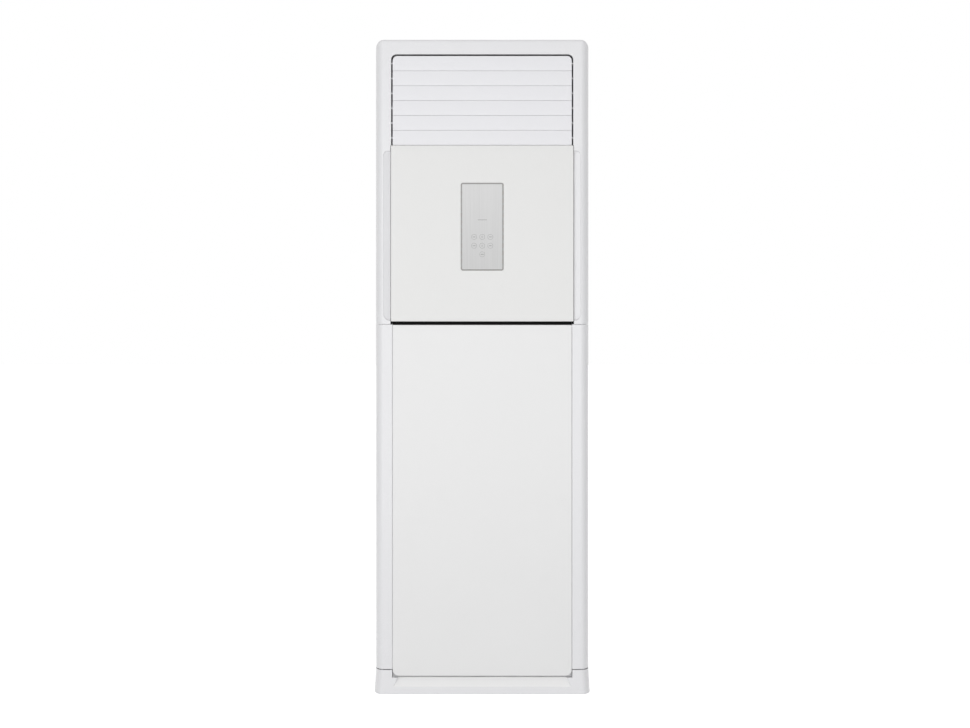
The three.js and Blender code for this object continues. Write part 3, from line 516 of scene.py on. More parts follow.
def upperFrame():
    low = cabinet["seamHeight"] + 0.6
    # the lines are close together where the grip's outline passes
    fine = [np.arange(grip["bottom"] - 3, grip["bottom"] + 24, 1.0),
            np.linspace(grip["bottom"] + 30, grip["top"] - 24, 16),
            np.arange(grip["top"] - 17, grip["top"] + 4, 1.0)]
    windowTop = opening["windowTop"]
    heights = np.concatenate([[low, low + 0.8, low + 4], *fine, [windowTop, windowTop + 0.05],
                              np.linspace(windowTop + 6, 1872, 14)])
    front = cabinet["front"]
    gripWide = grip["outer"] - grip["inner"]
    edge = np.concatenate([np.arange(0.8, gripWide - 3, 2.0), np.arange(gripWide - 3, gripWide + 0.6, 0.5)])
    lastFlat = cabinet["half"] - cabinet["cornerWide"]
    spanTop = cabinet["top"] - cabinet["topEdge"] - opening["top"]
    spanSide = lastFlat - opening["half"]
    half, top, corner = opening["half"], opening["top"], opening["corner"]
    lines = [frameLine(heights, half, top, corner, corner, y, y)
             for y in (opening["back"], front + 20, front + 1.2)]
    for step in edge:
        share = min(step / spanSide, 1)
        r = corner * (1 - share) + 3 * share
        lines.append(frameLine(heights, half + step, top + spanTop * share, r, r + 8 * share, front, front))
    for inset, depth in columnRounding():
        rx = max(cabinet["topCorner"] - inset, 2)
        topInset = inset * cabinet["topEdge"] / cabinet["cornerWide"]
        topDepth = depth * cabinet["topEdge"] / cabinet["cornerDeep"]
        lines.append(frameLine(heights, cabinet["half"] - inset, cabinet["top"] - topInset, rx,
                               cabinet["topCorner"] - topInset, front + depth, front + topDepth))
    r = cabinet["topCorner"]
    for y in (cabinet["mouldingEnd"] - 60, cabinet["mouldingEnd"]):
        lines.append(frameLine(heights, cabinet["half"], cabinet["top"], r, r, y, y))
    points = np.stack(lines)
    # the window beside the middle panel is a little wider than the outlet above it
    x, y, z = points[:, :, 0], points[:, :, 1], points[:, :, 2]
    shift = np.clip(1 - (np.abs(x) - half) / 4, 0, 1) * (opening["windowHalf"] - half)
    x += np.where(z < windowTop + 0.02, shift * np.sign(x), 0)
    # the front is sunk at the grips and eased at the seam
    facing = y < front + 14
    y += np.where(facing, gripDepth(x, z), 0) + np.where(facing & (z < low + 0.1), 0.3, 0)
    return shell(buildMesh("upperFrameSkin", [sheetSurface(points)]), wallThickness)


# Gives a skin its wall, inwards, with a rim round every opening. The skin is turned first if
# most of it faces the cabinet's middle.
def shell(obj, thickness):
    middleY = 0.06
    outward = sum(face.area * (face.normal.x * face.center.x + face.normal.y * (face.center.y - middleY))
                  for face in obj.data.polygons)
    if outward < 0:
        obj.data.flip_normals()
    wall = obj.modifiers.new("Wall", "SOLIDIFY")
    wall.thickness = thickness * mm
    wall.offset = -1
    wall.use_rim = True
    return obj


standFor(dress(smooth(upperFrame(), 40), "frameWhite"), "cabinet", "upper_front_frame")
print("upper frame made")

intake = {"near": -172.0, "far": -84.0, "low": 130.0, "high": 930.0}


# The ledge stands behind the lower panel's edge, so the joint is a shallow groove.
column = {"inner": 266.4, "ledge": 265.3}


# A lower column: the cabinet's plan, from the panel's edge round to the side, carried up.
def lowerColumn(side):
    front = cabinet["front"]
    inner, ledge = column["inner"], column["ledge"]
    plan = [(ledge, front + 40), (ledge, front + 2.4), (inner - 0.1, front + 2.0), (inner, front + 1.2),
            (inner + 0.4, front + 0.35), (inner + 1.2, front)]
    plan += [(inner + 8, front), (cabinet["half"] - cabinet["cornerWide"] - 0.5, front)]
    plan += [(cabinet["half"] - inset, front + depth) for inset, depth in columnRounding()]
    plan += [(cabinet["half"], y) for y in (-175.0, intake["near"], -150.0, -105.0, intake["far"], -72.0,
                                            cabinet["mouldingEnd"])]
    plan = np.array(plan)
    bottom, top = cabinet["baseHeight"], cabinet["seamHeight"]
    heights = np.array([bottom, bottom + 0.8, bottom + 6, intake["low"], *np.linspace(180, 880, 11),
                        intake["high"], 1000, top - 6, top - 0.8, top])
    rows = []
    for z in heights:
        drawn = {bottom: 0.7, top: 0.25}.get(z, 0.0)
        x = plan[:, 0] - drawn * (plan[:, 1] > front + 2)
        rows.append(np.column_stack([x * side, plan[:, 1] + drawn, np.full(len(plan), z)]))
    points = np.stack(rows)
    acrossY = (plan[:-1, 1] + plan[1:, 1]) / 2
    midZ = (heights[:-1] + heights[1:]) / 2
    onSide = plan[:-1, 0] > cabinet["half"] - 0.1
    deepEnough = (acrossY > intake["near"]) & (acrossY < intake["far"])
    highEnough = (midZ > intake["low"]) & (midZ < intake["high"])
    window = (onSide & deepEnough)[None, :] & highEnough[:, None]
    return buildMesh("lowerColumn", [sheetSurface(points, keep=~window)])


for side, name in ((1, "right_lower_column"), (-1, "left_lower_column")):
    standFor(dress(smooth(shell(lowerColumn(side), wallThickness), 40), "frameWhite"), "cabinet", name)
print("lower columns made")

# ---- plinth: the plan drawn out to the floor, with the sloped toe recess ----
base = {"flare": 4.0, "top": 71.6, "recessTop": 48.0, "recessHalfTop": 250.0, "recessHalfLow": 262.0,
        "crease": 22.0, "slopeBack": -213.0, "pocketBack": -205.0, "pocketHalf": 266.4, "drawn": 0.7}


# The plan flares by 4 mm at the floor and not at the top, as 1 - (z - 3) / (top - 3).
def plinth():
    back = cabinet["mouldingEnd"]
    front = cabinet["front"]
    crease, ledge = base["crease"], base["recessTop"]
    heights = [0.0, 0.8, 3.0, 12.0, crease - 0.8, crease, crease + 0.8, 36.0, ledge - 0.8, ledge,
               ledge + 0.3, 60.0, base["top"] - 0.8, base["top"]]
    narrower = base["recessHalfTop"] - base["recessHalfLow"]
    creaseFront = front - base["flare"] * (1 - (crease - 3) / (base["top"] - 3))
    flatShare = np.linspace(-1, 1, 41)
    rows = []
    for z in heights:
        flare = base["flare"] * max(0.0, 1 - max(z - 3, 0) / (base["top"] - 3))
        flare -= base["drawn"] if z in (0.0, base["top"]) else 0
        w, f = cabinet["half"] + flare, front - flare
        corner = [(w - inset, f + depth) for inset, depth in columnRounding()][::-1]
        rightSide = [(w, y) for y in (back, -100.0, -140.0)] + corner
        # the recess: x runs in from its slanted ends, y follows the slope to the pocket
        if z < crease:
            reach = base["recessHalfLow"]
        elif z <= ledge:
            reach = base["recessHalfLow"] + (z - crease) / (ledge - crease) * narrower
        else:
            reach = base["pocketHalf"]
        if z <= crease:
            floorY = f
        elif z <= ledge:
            floorY = creaseFront + (z - crease) / (ledge - crease) * (base["slopeBack"] - creaseFront)
        else:
            floorY = base["pocketBack"]
        ends = [(reach + 0.7, f), (reach, max(f, floorY))]
        flat = [(reach * share, floorY) for share in flatShare[::-1][1:-1]]
        half = rightSide + ends
        ring = half + flat + [(-x, y) for x, y in half[::-1]]
        rows.append([[x, y, z] for x, y in ring])
    return buildMesh("plinthSkin", [sheetSurface(np.array(rows))])


# Painted light: the toe recess's upward-facing slope faces take the lighter white, as if lit from above.
def paintSlopeLight(obj):
    obj.data.materials.append(finishes["toePaintedLight"])
    for face in obj.data.polygons:
        inRecess = face.center.y < -0.2 and abs(face.center.x) < base["recessHalfLow"] * mm
        if face.normal.z > 0.2 and inRecess:
            face.material_index = 1
    return obj


plinthShell = smooth(shell(plinth(), wallThickness), 30)
standFor(paintSlopeLight(dress(plinthShell, "frameWhite")), "cabinet", "plinth")
print("plinth made")

# ---- panels: trays with eased edges ----
middle = {"half": 270.4, "bottom": 1102.8, "top": 1624.2, "corner": 2.0, "back": -208.0, "ease": 1.6}
display = {"half": 63.3, "bottom": 1253.4, "top": 1513.0, "corner": 6.0, "border": 3.3}
lower = {"half": 265.0, "bottom": 54.0, "top": 1092.5, "lowCorner": 17.0, "topCorner": 2.0,
         "back": -210.0, "ease": 1.6}


# A panel's rings from its hollow back round its edge to its front, which sinks by crown at the rim.
def trayRings(sizes, radii, wall=3.0, crown=0.5):
    inner, outer = frontRing(sizes, radii, wall), frontRing(sizes, radii)
    rings = [(inner, panelFront + wall), (inner, sizes["back"]), (outer, sizes["back"])]
    for inset, depth in quarterRound(sizes["ease"])[::-1]:
        rings.append((frontRing(sizes, radii, inset), panelFront + depth))
    rings[-1] = (rings[-1][0], panelFront + crown)
    rings.append((frontRing(sizes, radii, 7.0), panelFront + crown / 4))
    rings.append((frontRing(sizes, radii, 14.0), panelFront))
    return rings


def middlePanel():
    rings = trayRings(middle, [middle["corner"]] * 4)
    for inset, depth in ((-0.5, 0), (-0.1, 0.4), (0, 3.0)):
        rings.append((frontRing(display, [display["corner"]] * 4, inset), panelFront + depth))
    return buildMesh("middlePanelTray", [loopSurface(ringStack(rings))])


def lowerPanel():
    corners = [lower["lowCorner"]] * 2 + [lower["topCorner"]] * 2
    return buildMesh("lowerPanelTray", [surface(ringStack(trayRings(lower, corners)))])


standFor(dress(smooth(middlePanel(), 40), "middleWhite"), "cabinet", "middle_panel")
standFor(dress(smooth(lowerPanel(), 40), "lowerWhite"), "lower_panel", "lower_panel")
print("panels made")


slotShade = {"half": 265.0, "front": -214.0, "back": -206.0}


# A black strip fills the finger slot between the two panels: painted shade, so the slot reads dark.
def slotShadeStrip():
    low, high = lower["top"] + 0.5, middle["bottom"] - 0.4
    front, back = slotShade["front"], slotShade["back"]
    ring = [(front + 1, low), (front + 0.4, low + 1), (front, (low + high) / 2), (front + 0.4, high - 1),
            (front + 1, high), (back, high), (back, low)]
    return buildMesh("slotShadeStrip", [runAlongX(np.array(ring), -slotShade["half"], slotShade["half"], 1.0)])


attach(dress(slotShadeStrip(), "slotShadeBlack"), "cabinet")

# ---- display: a grey border round a brushed plate with plain key outlines ----


def displayRings(profile):
    radii = [display["corner"]] * 4
    return ringStack([(frontRing(display, radii, inset), panelFront + y) for inset, y in profile])


def displayBorder():
    b = display["border"]
    profile = [(0.3, 4.2), (0.3, 1.0), (0.55, 0.65), (b - 0.3, 0.45), (b, 0.7), (b, 4.2)]
    return buildMesh("displayBorder", [loopSurface(displayRings(profile))])


def displayPlate():
    inset = display["border"] + 0.3
    profile = [(inset, 4.2), (inset, 0.8), (inset + 0.12, 0.45), (inset + 0.4, 0.3)]
    return buildMesh("displayPlate", [surface(displayRings(profile))])


# A printed outline: a thin raised ring or disc on the plate, at (x, z).
def printedRing(x, z, halfWide, halfHigh, corner, line):
    y = panelFront + 0.3
    rings = []
    for inset, depth in [(0.0, 0.05), (0.0, -0.06), (line, -0.06), (line, 0.05)]:
        ring = roundedRing(x - halfWide, x + halfWide, z - halfHigh, z + halfHigh, [corner] * 4, inset)
        rings.append((ring, y + depth))
    return loopSurface(ringStack(rings))


keys = {"outline": (7.8, 7.8, 7.0, 0.7), "across": [-24, 0, 24], "rows": [1353, 1327], "single": 1301.5,
        "bar": (3.8, 0.9, 0.4, 0.8), "ring": (2.4, 2.4, 2.3, 0.6), "singleBar": (4.4, 1.0, 0.4, 0.9),
        "lineZ": 1403.5, "line": (13.5, 0.7, 0.3, 0.6)}


# Each key has an outline and a generic mark in it: a bar at the sides, a small ring in the middle.
def keyPrints():
    parts = [printedRing(x, z, *keys["outline"]) for z in keys["rows"] for x in keys["across"]]
    parts.append(printedRing(0, keys["single"], *keys["outline"]))
    parts += [printedRing(x, z, *keys["bar"]) for z in keys["rows"] for x in keys["across"][::2]]
    parts += [printedRing(0, z, *keys["ring"]) for z in keys["rows"]]
    parts.append(printedRing(0, keys["single"], *keys["singleBar"]))
    parts.append(printedRing(0, keys["lineZ"], *keys["line"]))
    return buildMesh("keyPrints", parts)


standFor(dress(smooth(displayBorder()), "borderGrey"), "cabinet", "display_bezel")
standFor(dress(smooth(displayPlate()), "displaySilver"), "cabinet", "display_plate")
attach(dress(keyPrints(), "keyPrint"), "cabinet")
print("display made")

# ---- louvres: curved blades with end pins, a crank arm each ----
louvres = {"count": 6, "bottom": 1625.0, "pitch": 44.1, "chord": 43.6, "half": 265.2, "axisY": -217.0,
           "reach": 14.0, "rest": -50.0, "armFrom": 273.8, "armTo": 276.8, "pinEnd": 281.2}


# A blade's section in (y, z) round its pivot: a front bowed by y = -4.6 + 0.5 t^2 and a flat
# back; its two long edges are rounded by about half a millimetre.
def louvreSection():
    half = louvres["chord"] / 2
    t = np.linspace(-1, 1, 17)
    frontFace = np.column_stack([-4.6 + 0.5 * t ** 2, (half - 0.5) * t])
    upperEdge = [(-3.95, half - 0.15), (-3.6, half), (-1.9, half), (-1.6, half - 0.3)]
    backFace = [(-1.6, z) for z in (12.0, 4.0, -4.0, -12.0)]
    lowerEdge = [(y, -z) for y, z in upperEdge[::-1]]
    return np.concatenate([frontFace, upperEdge, backFace, lowerEdge])


def louvre(index):
    z = louvres["bottom"] + louvres["pitch"] * (louvres["count"] - index - 0.5)
    y = louvres["axisY"]
    section = louvreSection() + (y, z)
    # the top blade follows the outlet's rounded corners, so it has stations along them
    r = opening["corner"] - 1
    arc = louvres["half"] - r + r * np.sin(np.radians([0, 15, 30, 45, 60, 72]))
    stations = [*-arc[::-1], *arc] if index == 0 else []
    blade = runAlongX(section, -louvres["half"], louvres["half"], 0.6, stations)
    if index == 0:
        points = blade["points"]
        reach = np.maximum(np.abs(points[:, :, 0]) - (louvres["half"] - r), 0)
        limit = z + louvres["chord"] / 2 - r + np.sqrt(np.maximum(r * r - reach ** 2, 0))
        points[:, :, 2] = np.where(reach > 0, np.minimum(points[:, :, 2], limit), points[:, :, 2])
    turn = math.radians(louvres["rest"])
    pinY, pinZ = y + louvres["reach"] * math.cos(turn), z + louvres["reach"] * math.sin(turn)
    armOutline = []
    for centreY, centreZ, start in ((y, z, turn + math.pi / 2), (pinY, pinZ, turn - math.pi / 2)):
        for step in np.linspace(0, math.pi, 9):
            turned = start + step
            armOutline.append((centreY + 3 * math.cos(turned), centreZ + 3 * math.sin(turned)))
    parts = [blade, runAlongX(np.array(armOutline), louvres["armFrom"], louvres["armTo"], 0.3),
             bar((-271, y, z), (-263, y, z), 2), bar((262, y, z), (275.8, y, z), 2),
             bar((275, pinY, pinZ), (louvres["pinEnd"], pinY, pinZ), 1.6)]
    return buildMesh(f"louvreBlade{index + 1}", parts)


for index in range(louvres["count"]):
    name = f"louvre_{index + 1}"
    standFor(dress(smooth(louvre(index), 40), "louvreWhite"), name, name)
print("louvres made")


# ---- steel casing: side panels, back, cover and their screws ----
casing = {"front": -59.7, "back": 226.0, "sheet": 1.0, "top": 1903.7, "coverLow": 1904.0, "hem": 12.0}


def sidePanel(side):
    w, front, back = cabinet["half"], casing["front"], casing["back"] - 1.3
    inner = w - casing["hem"]
    plan = np.array([(inner, front), (w - 1.6, front), (w - 0.5, front + 0.5), (w, front + 1.6), (w, 80.0),
                     (w, back - 1.6), (w - 0.5, back - 0.5), (w - 1.6, back), (inner, back)])
    rows = []
    for z, drawn in [(cabinet["baseHeight"], 0.4), (cabinet["baseHeight"] + 0.6, 0), (600, 0), (1200, 0),
                     (casing["top"] - 0.6, 0), (casing["top"], 0.4)]:
        rows.append(np.column_stack([(plan[:, 0] - drawn) * side, plan[:, 1], np.full(len(plan), z)]))
    return shell(buildMesh("sidePanelSheet", [sheetSurface(np.stack(rows))]), casing["sheet"])


# The cover: an arch from side to side, folded down at the back.
def topCover():
    low = casing["coverLow"]
    rows = []
    front, back = casing["front"], casing["back"]
    for y, drawn in [(front, 0.3), (front + 0.6, 0), (0, 0), (120, 0), (back - 2, 0), (back - 1.2, 0.25),
                     (back - 0.4, 0.9), (back, 2)]:
        r = cabinet["topCorner"] - drawn
        half, top = cabinet["half"] - drawn, cabinet["top"] - drawn
        rows.append(frameLine(np.array([low, low + 6, low + 11]), half, top, r, r, y, y))
    skin = surface(np.stack(rows), wrap=False, capStart=False, capEnd=True)
    return shell(buildMesh("topCoverSheet", [skin]), casing["sheet"])


backHoles = {"pipes": {"x": 205.0, "z": 190.0, "r": 37.5, "patch": 50.0},
             "cord": {"x": -200.0, "z": 150.0, "r": 12.0, "patch": 30.0}}
pressed = {"across": (22.0, 262.0), "bands": [(300.0, 920.0), (960.0, 1560.0)], "corner": 24.0,
           "depth": 2.4, "slope": 3.6}


# The back panel's stiffening: each field is pressed in by 'depth' over a sloped edge.
def pressedDepth(x, z):
    x0, x1 = pressed["across"]
    total = np.zeros_like(x)
    for z0, z1 in pressed["bands"]:
        fieldX, fieldZ = np.abs(x) - (x0 + x1) / 2, z - (z0 + z1) / 2
        distance = roundedDistance(fieldX, fieldZ, (x1 - x0) / 2, (z1 - z0) / 2, pressed["corner"])
        total = total + easedInside(distance, pressed["slope"])
    return pressed["depth"] * total


# Grid lines every 40 mm, and every 2 mm within reach of an edge.
def linesNear(edges, reach, inner, outer):
    lines = {inner, outer}
    for edge in edges:
        lines |= {edge + step for step in np.arange(-reach, reach + 0.1, 2.0)}
    lines |= set(np.arange(inner, outer, 40.0))
    return sorted(v for v in lines if inner <= v <= outer)


def backPanel():
    y = casing["back"]
    w = cabinet["half"]
    x0, x1 = pressed["across"]
    edges = [s * e for s in (-1, 1) for e in (x0 + 3, x1 - 3)]
    bands = [v for z0, z1 in pressed["bands"] for v in (z0 + 3, z1 - 3)]
    # each hole gets a square patch of its own, so the grid has lines round it
    patchX, patchZ = ({h[axis] + s * h["patch"] for h in backHoles.values() for s in (-1, 1)} for axis in "xz")
    zLines = linesNear(bands, 26, cabinet["baseHeight"], casing["top"])
    xs, zs = np.array(sorted({*linesNear(edges, 8, -w, w), *patchX})), np.array(sorted({*zLines, *patchZ}))
    gridX, gridZ = np.meshgrid(xs, zs)
    points = np.stack([gridX, y - pressedDepth(gridX, gridZ), gridZ], axis=-1)
    midX, midZ = np.meshgrid((xs[:-1] + xs[1:]) / 2, (zs[:-1] + zs[1:]) / 2)
    keep = np.ones(midX.shape, bool)
    parts = []
    circle = np.column_stack([np.cos(fullTurn(48)), np.sin(fullTurn(48))])
    for h in backHoles.values():
        keep &= ~((np.abs(midX - h["x"]) < h["patch"]) & (np.abs(midZ - h["z"]) < h["patch"]))
        centre = (h["x"], h["z"])
        square = circle / np.abs(circle).max(axis=1)[:, None] * h["patch"]
        patch = ringStack([(square + centre, y)] + [(circle * (h["r"] + more) + centre, y - drop)
                                                    for more, drop in ((1.0, 0), (0.3, 0.15), (0, 0.9))])
        parts.append(surface(patch, capStart=False, capEnd=False))
    return shell(buildMesh("backPanelSheet", [sheetSurface(points, keep), *parts]), casing["sheet"])


for side, name in ((1, "right_side_panel"), (-1, "left_side_panel")):
    standFor(dress(smooth(sidePanel(side), 35), "steelWhite"), "cabinet", name)
standFor(dress(smooth(topCover(), 35), "steelWhite"), "cabinet", "top_cover")
standFor(dress(smooth(backPanel(), 35), "steelWhite"), "cabinet", "back_panel")
print("casing made")

screw = {"radius": 4.0, "height": 1.9, "slot": 0.55, "slotReach": 2.4, "slotDepth": 1.3, "sideX": 309,
         "sideZ": (96, 420, 760, 1100, 1440, 1780, 1890), "innerX": 150, "innerZ": (84, 1890),
         "coverX": (-220, 0, 220), "coverZ": 1920}


# A pan head facing 'out' at 'at': height (1 - (r / radius)^3) high, with a cross sunk in it.
def screwHead(at, out):
    out = np.array(out, float)
    helper = np.array([0, 0, 1.0]) if abs(out[2]) < 0.9 else np.array([1.0, 0, 0])
    u = np.cross(helper, out)
    v = np.cross(out, u)
    radii = np.array([0.02, 0.35, 0.7, 1.2, 1.8, 2.4, 3.0, 3.5, 3.9, 4.0]) * screw["radius"] / 4
    turn = fullTurn(40)
    r, t = np.meshgrid(radii, turn, indexing="ij")
    a, b = r * np.cos(t), r * np.sin(t)
    height = screw["height"] * (1 - (r / screw["radius"]) ** 3) + 0.02
    arm = np.minimum(np.abs(a), np.abs(b))
    reach = np.maximum(np.abs(a), np.abs(b))
    cross = np.clip((screw["slot"] - arm) / 0.3, 0, 1) * np.clip((screw["slotReach"] - reach) / 0.5, 0, 1)
    height = height - screw["slotDepth"] * cross
    at = np.array(at, float)
    points = at + a[..., None] * u + b[..., None] * v + height[..., None] * out
    skirt = at + screw["radius"] * (np.cos(turn)[:, None] * u + np.sin(turn)[:, None] * v)
    return surface(np.concatenate([points, skirt[None]]))


def casingScrews():
    places = [(x, z) for z in screw["sideZ"] for x in (-screw["sideX"], screw["sideX"])]
    places += [(x, z) for z in screw["innerZ"] for x in (-screw["innerX"], screw["innerX"])]
    places += [(x, screw["coverZ"]) for x in screw["coverX"]]
    return buildMesh("casingScrews", [screwHead((x, casing["back"], z), (0, 1, 0)) for x, z in places])


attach(dress(smooth(casingScrews(), 30), "screwZinc"), "cabinet")


# A rubber ring lines the pipe hole, rounded on both lips.
def pipeGrommet():
    h = backHoles["pipes"]
    circle = np.column_stack([np.cos(fullTurn(64)), np.sin(fullTurn(64))])
    profile = [(-0.2, 0.2), (3.5, 0.2), (4.2, 0.8), (3.8, 1.6), (-1, 1.9), (-2.6, 1.2), (-2.9, -1.0),
               (-2.0, -3.0), (-0.4, -3.2)]
    rings = [(circle * (h["r"] + more) + (h["x"], h["z"]), casing["back"] + y) for more, y in profile]
    return buildMesh("pipeGrommet", [loopSurface(ringStack(rings))])


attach(dress(smooth(pipeGrommet(), 50), "blackPlastic"), "cabinet")
print("screws and grommet made")

# ---- intake grilles: a rim with tilted slats ----
slat = {"count": 51, "tilt": 38.0, "deep": 5.2, "thick": 1.5, "round": 0.7}


def intakeGrille(side):
    near, far = intake["near"] + 0.3, intake["far"] - 0.3
    low, high = intake["low"] + 0.3, intake["high"] - 0.3
    x0, x1 = cabinet["half"] - 5, cabinet["half"] - 0.4
    rings = []
    for inset, x in [(0, x0), (0, x1 - 0.6), (0.5, x1), (4.4, x1), (5, x1 - 0.6), (5, x0)]:
        ring = roundedRing(near, far, low, high, [2.5] * 4, inset)
        rings.append(np.column_stack([np.full(len(ring), x), ring]))
    parts = [loopSurface(np.stack(rings))]
    turn = math.radians(slat["tilt"])
    lean = np.array([[math.cos(turn), -math.sin(turn)], [math.sin(turn), math.cos(turn)]])
    deep, thick = slat["deep"] / 2, slat["thick"] / 2
    section = roundedRing(-deep, deep, -thick, thick, [slat["round"]] * 4, perCorner=4) @ lean
    for z in np.linspace(low, high, slat["count"] + 2)[1:-1]:
        rows = [np.column_stack([section[:, 0] + (x0 + x1) / 2, np.full(len(section), y), section[:, 1] + z])
                for y in (near + 4.6, far - 4.6)]
        parts.append(surface(np.stack(rows)))
    for part in parts:
        part["points"] = part["points"] * (side, 1, 1)
    return buildMesh("intakeGrilleSlats", parts)


for side, name in ((1, "right_intake_grille"), (-1, "left_intake_grille")):
    standFor(dress(smooth(intakeGrille(side), 40), "grilleGrey"), "cabinet", name)
print("grilles made")

# ---- coil: thin fins on copper tubes, leaning from the front low to the back high ----
coil = {"half": 257.5, "low": (-168.0, 1030.0), "high": (196.0, 1575.0), "thickness": 56.0, "pitch": 2.4,
        "fin": 0.35, "ripple": 0.35, "wave": 20.0, "tubes": 22, "tubeRadius": 4.8,
        "rows": ((-14.0, 0.25), (14.0, 0.75))}
coilLow = np.array(coil["low"])
coilSpan = np.array(coil["high"]) - coilLow
coilLength = np.linalg.norm(coilSpan)
coilAlong = coilSpan / coilLength
coilAcross = np.array([coilAlong[1], -coilAlong[0]])


# Flat strips across the coil, whose long edges are rippled by ripple sin(2 pi s / wave).
def coilFins():
    s = np.linspace(1.0, coilLength - 1.0, 60)
    deep = coil["thickness"] / 2 - 0.8 + coil["ripple"] * np.sin(2 * math.pi * s / coil["wave"])
    middleLine, aside = coilLow + s[:, None] * coilAlong, deep[:, None] * coilAcross
    frontEdge, backEdge = middleLine + aside, middleLine - aside
    corners = ((frontEdge, 0), (frontEdge, coil["fin"]), (backEdge, coil["fin"]), (backEdge, 0))
    parts = []
    for x in np.arange(-coil["half"] + 1, coil["half"], coil["pitch"]):
        strip = [np.column_stack([np.full(len(edge), x + dx), edge]) for edge, dx in corners]
        parts.append(surface(np.stack(strip, axis=1)))
    return buildMesh("coilFinStack", parts)


# Two staggered rows of straight tubes.
def coilTubes():
    parts = []
    for i in range(coil["tubes"]):
        for aside, start in coil["rows"]:
            y, z = coilLow + coilSpan * (i + start) / coil["tubes"] + coilAcross * aside
            parts.append(bar((-coil["half"], y, z), (coil["half"], y, z), coil["tubeRadius"], 12))
    return buildMesh("coilTubes", parts)


standFor(dress(coilFins(), "fins"), "cabinet", "coil_fins")
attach(dress(smooth(coilTubes()), "copper"), "cabinet")
print("coil made")

# ---- vanes: upright blades behind the louvres, thin towards their edges ----
vanes = {"count": 8, "pitch": 60.0, "chord": 44.0, "thick": 1.8, "bottom": 1640.0, "top": 1872.0,
         "axisY": -168.0, "linkReach": 18.0, "pinLow": 1628.0, "pinHigh": 1885.0, "linkLow": 1629.0,
         "pinRadius": 2.0, "linkPinRadius": 1.6, "pinRoot": 6.0, "ease": 0.4}


# The half thickness at s along the chord, from -1 to 1, is (thick / 2) sqrt(1 - 0.75 s^2),
# and its ends are rounded. grow draws the section in.
def vaneSection(x, grow):
    s = np.sin(np.radians(np.linspace(-90, 90, 19)))
    endRound = np.sqrt(np.clip((1 - np.abs(s)) * 22, 0, 1))
    width = vanes["thick"] / 2 * np.sqrt(1 - 0.75 * s ** 2) * endRound + 0.02
    y = vanes["axisY"] + s * (vanes["chord"] / 2 - grow)
    width = np.maximum(width - grow, 0.05)
    right = np.column_stack([x + width, y])
    left = np.column_stack([x - width, y])[::-1]
    return np.concatenate([right, left])


def vaneBlade(x):
    y, ease = vanes["axisY"], vanes["ease"]
    rows = []
    for z, grow in [(vanes["bottom"], ease), (vanes["bottom"] + ease, 0.0), (vanes["top"] - ease, 0.0),
                    (vanes["top"], ease)]:
        ring = vaneSection(x, grow)
        rows.append(np.column_stack([ring, np.full(len(ring), z)]))
    low, high = vanes["bottom"] + vanes["pinRoot"], vanes["top"] - vanes["pinRoot"]
    linkY = y + vanes["linkReach"]
    parts = [surface(np.stack(rows)), bar((x, y, vanes["pinLow"]), (x, y, low), vanes["pinRadius"]),
             bar((x, y, high), (x, y, vanes["pinHigh"]), vanes["pinRadius"]),
             bar((x, linkY, vanes["linkLow"]), (x, linkY, low), vanes["linkPinRadius"])]
    return buildMesh("vaneBlade", parts)


for index in range(vanes["count"]):
    name = f"vane_{index + 1}"
    x = (index - (vanes["count"] - 1) / 2) * vanes["pitch"]
    standFor(dress(smooth(vaneBlade(x), 40), "vaneWhite"), name, name)
print("vanes made")

# ---- fan wheel: a back disc, a front ring and curved blades between them ----
wheel = {"y": 45.0, "z": 500.0, "radius": 172.0, "inner": 145.0, "width": 140.0, "blades": 32, "bore": 8.4,
         "hub": 24.0, "hubLong": 34.0, "disc": 3.0, "rim": 5.0, "blade": 1.6, "lean": 9.0, "ease": 0.8}


# A profile of (radius, y) turned about the fan's axis.
def aboutAxis(profile, steps=96):
    turn = fullTurn(steps)
    rings = [(np.column_stack([r * np.cos(turn), wheel["z"] + r * np.sin(turn)]), y) for r, y in profile]
    return loopSurface(ringStack(rings))


# A blade runs from the inner to the outer radius while it turns by lean (1 - cos(90 s)), so
# it leaves the inner edge radially and curves towards the rim.
def fanBlade(start, near, far):
    s = np.linspace(0, 1, 8)
    radius = wheel["inner"] + 1 + s * (wheel["radius"] - wheel["inner"] - 3)
    angle = start + math.radians(wheel["lean"]) * (1 - np.cos(s * math.pi / 2))
    side = wheel["blade"] / 2 / radius
    r = np.concatenate([radius, radius[::-1]])
    turn = np.concatenate([angle + side, (angle - side)[::-1]])
    ring = np.column_stack([r * np.cos(turn), wheel["z"] + r * np.sin(turn)])
    return surface(ringStack([(ring, near), (ring, far)]))


def fanWheel():
    near, far = wheel["y"] - wheel["width"] / 2, wheel["y"] + wheel["width"] / 2
    r, inner, bore, hub, ease = (wheel[key] for key in ("radius", "inner", "bore", "hub", "ease"))
    hubEnd, face, rim = far - wheel["hubLong"], far - wheel["disc"], near + wheel["rim"]
    disc = [(bore, hubEnd + 0.4), (bore + 0.4, hubEnd), (hub - 1, hubEnd), (hub, hubEnd + 1),
            (hub + 0.6, face - 5), (hub + 5, face), (r - ease, face), (r, face + ease), (r, far - ease),
            (r - ease, far), (bore + 0.4, far), (bore, far - 0.4)]
    ring = [(inner, near + 1.2), (inner + 1.2, near), (r - ease, near), (r, near + ease), (r, rim - ease),
            (r - ease, rim), (inner + 1.2, rim), (inner, rim - 1.2)]
    parts = [aboutAxis(disc), aboutAxis(ring)]
    parts += [fanBlade(start, near + 1, far - 1) for start in fullTurn(wheel["blades"])]
    return buildMesh("fanWheelBlades", parts)


standFor(dress(smooth(fanWheel(), 40), "blackPlastic"), "fan", "fan_wheel")
print("fan wheel made")

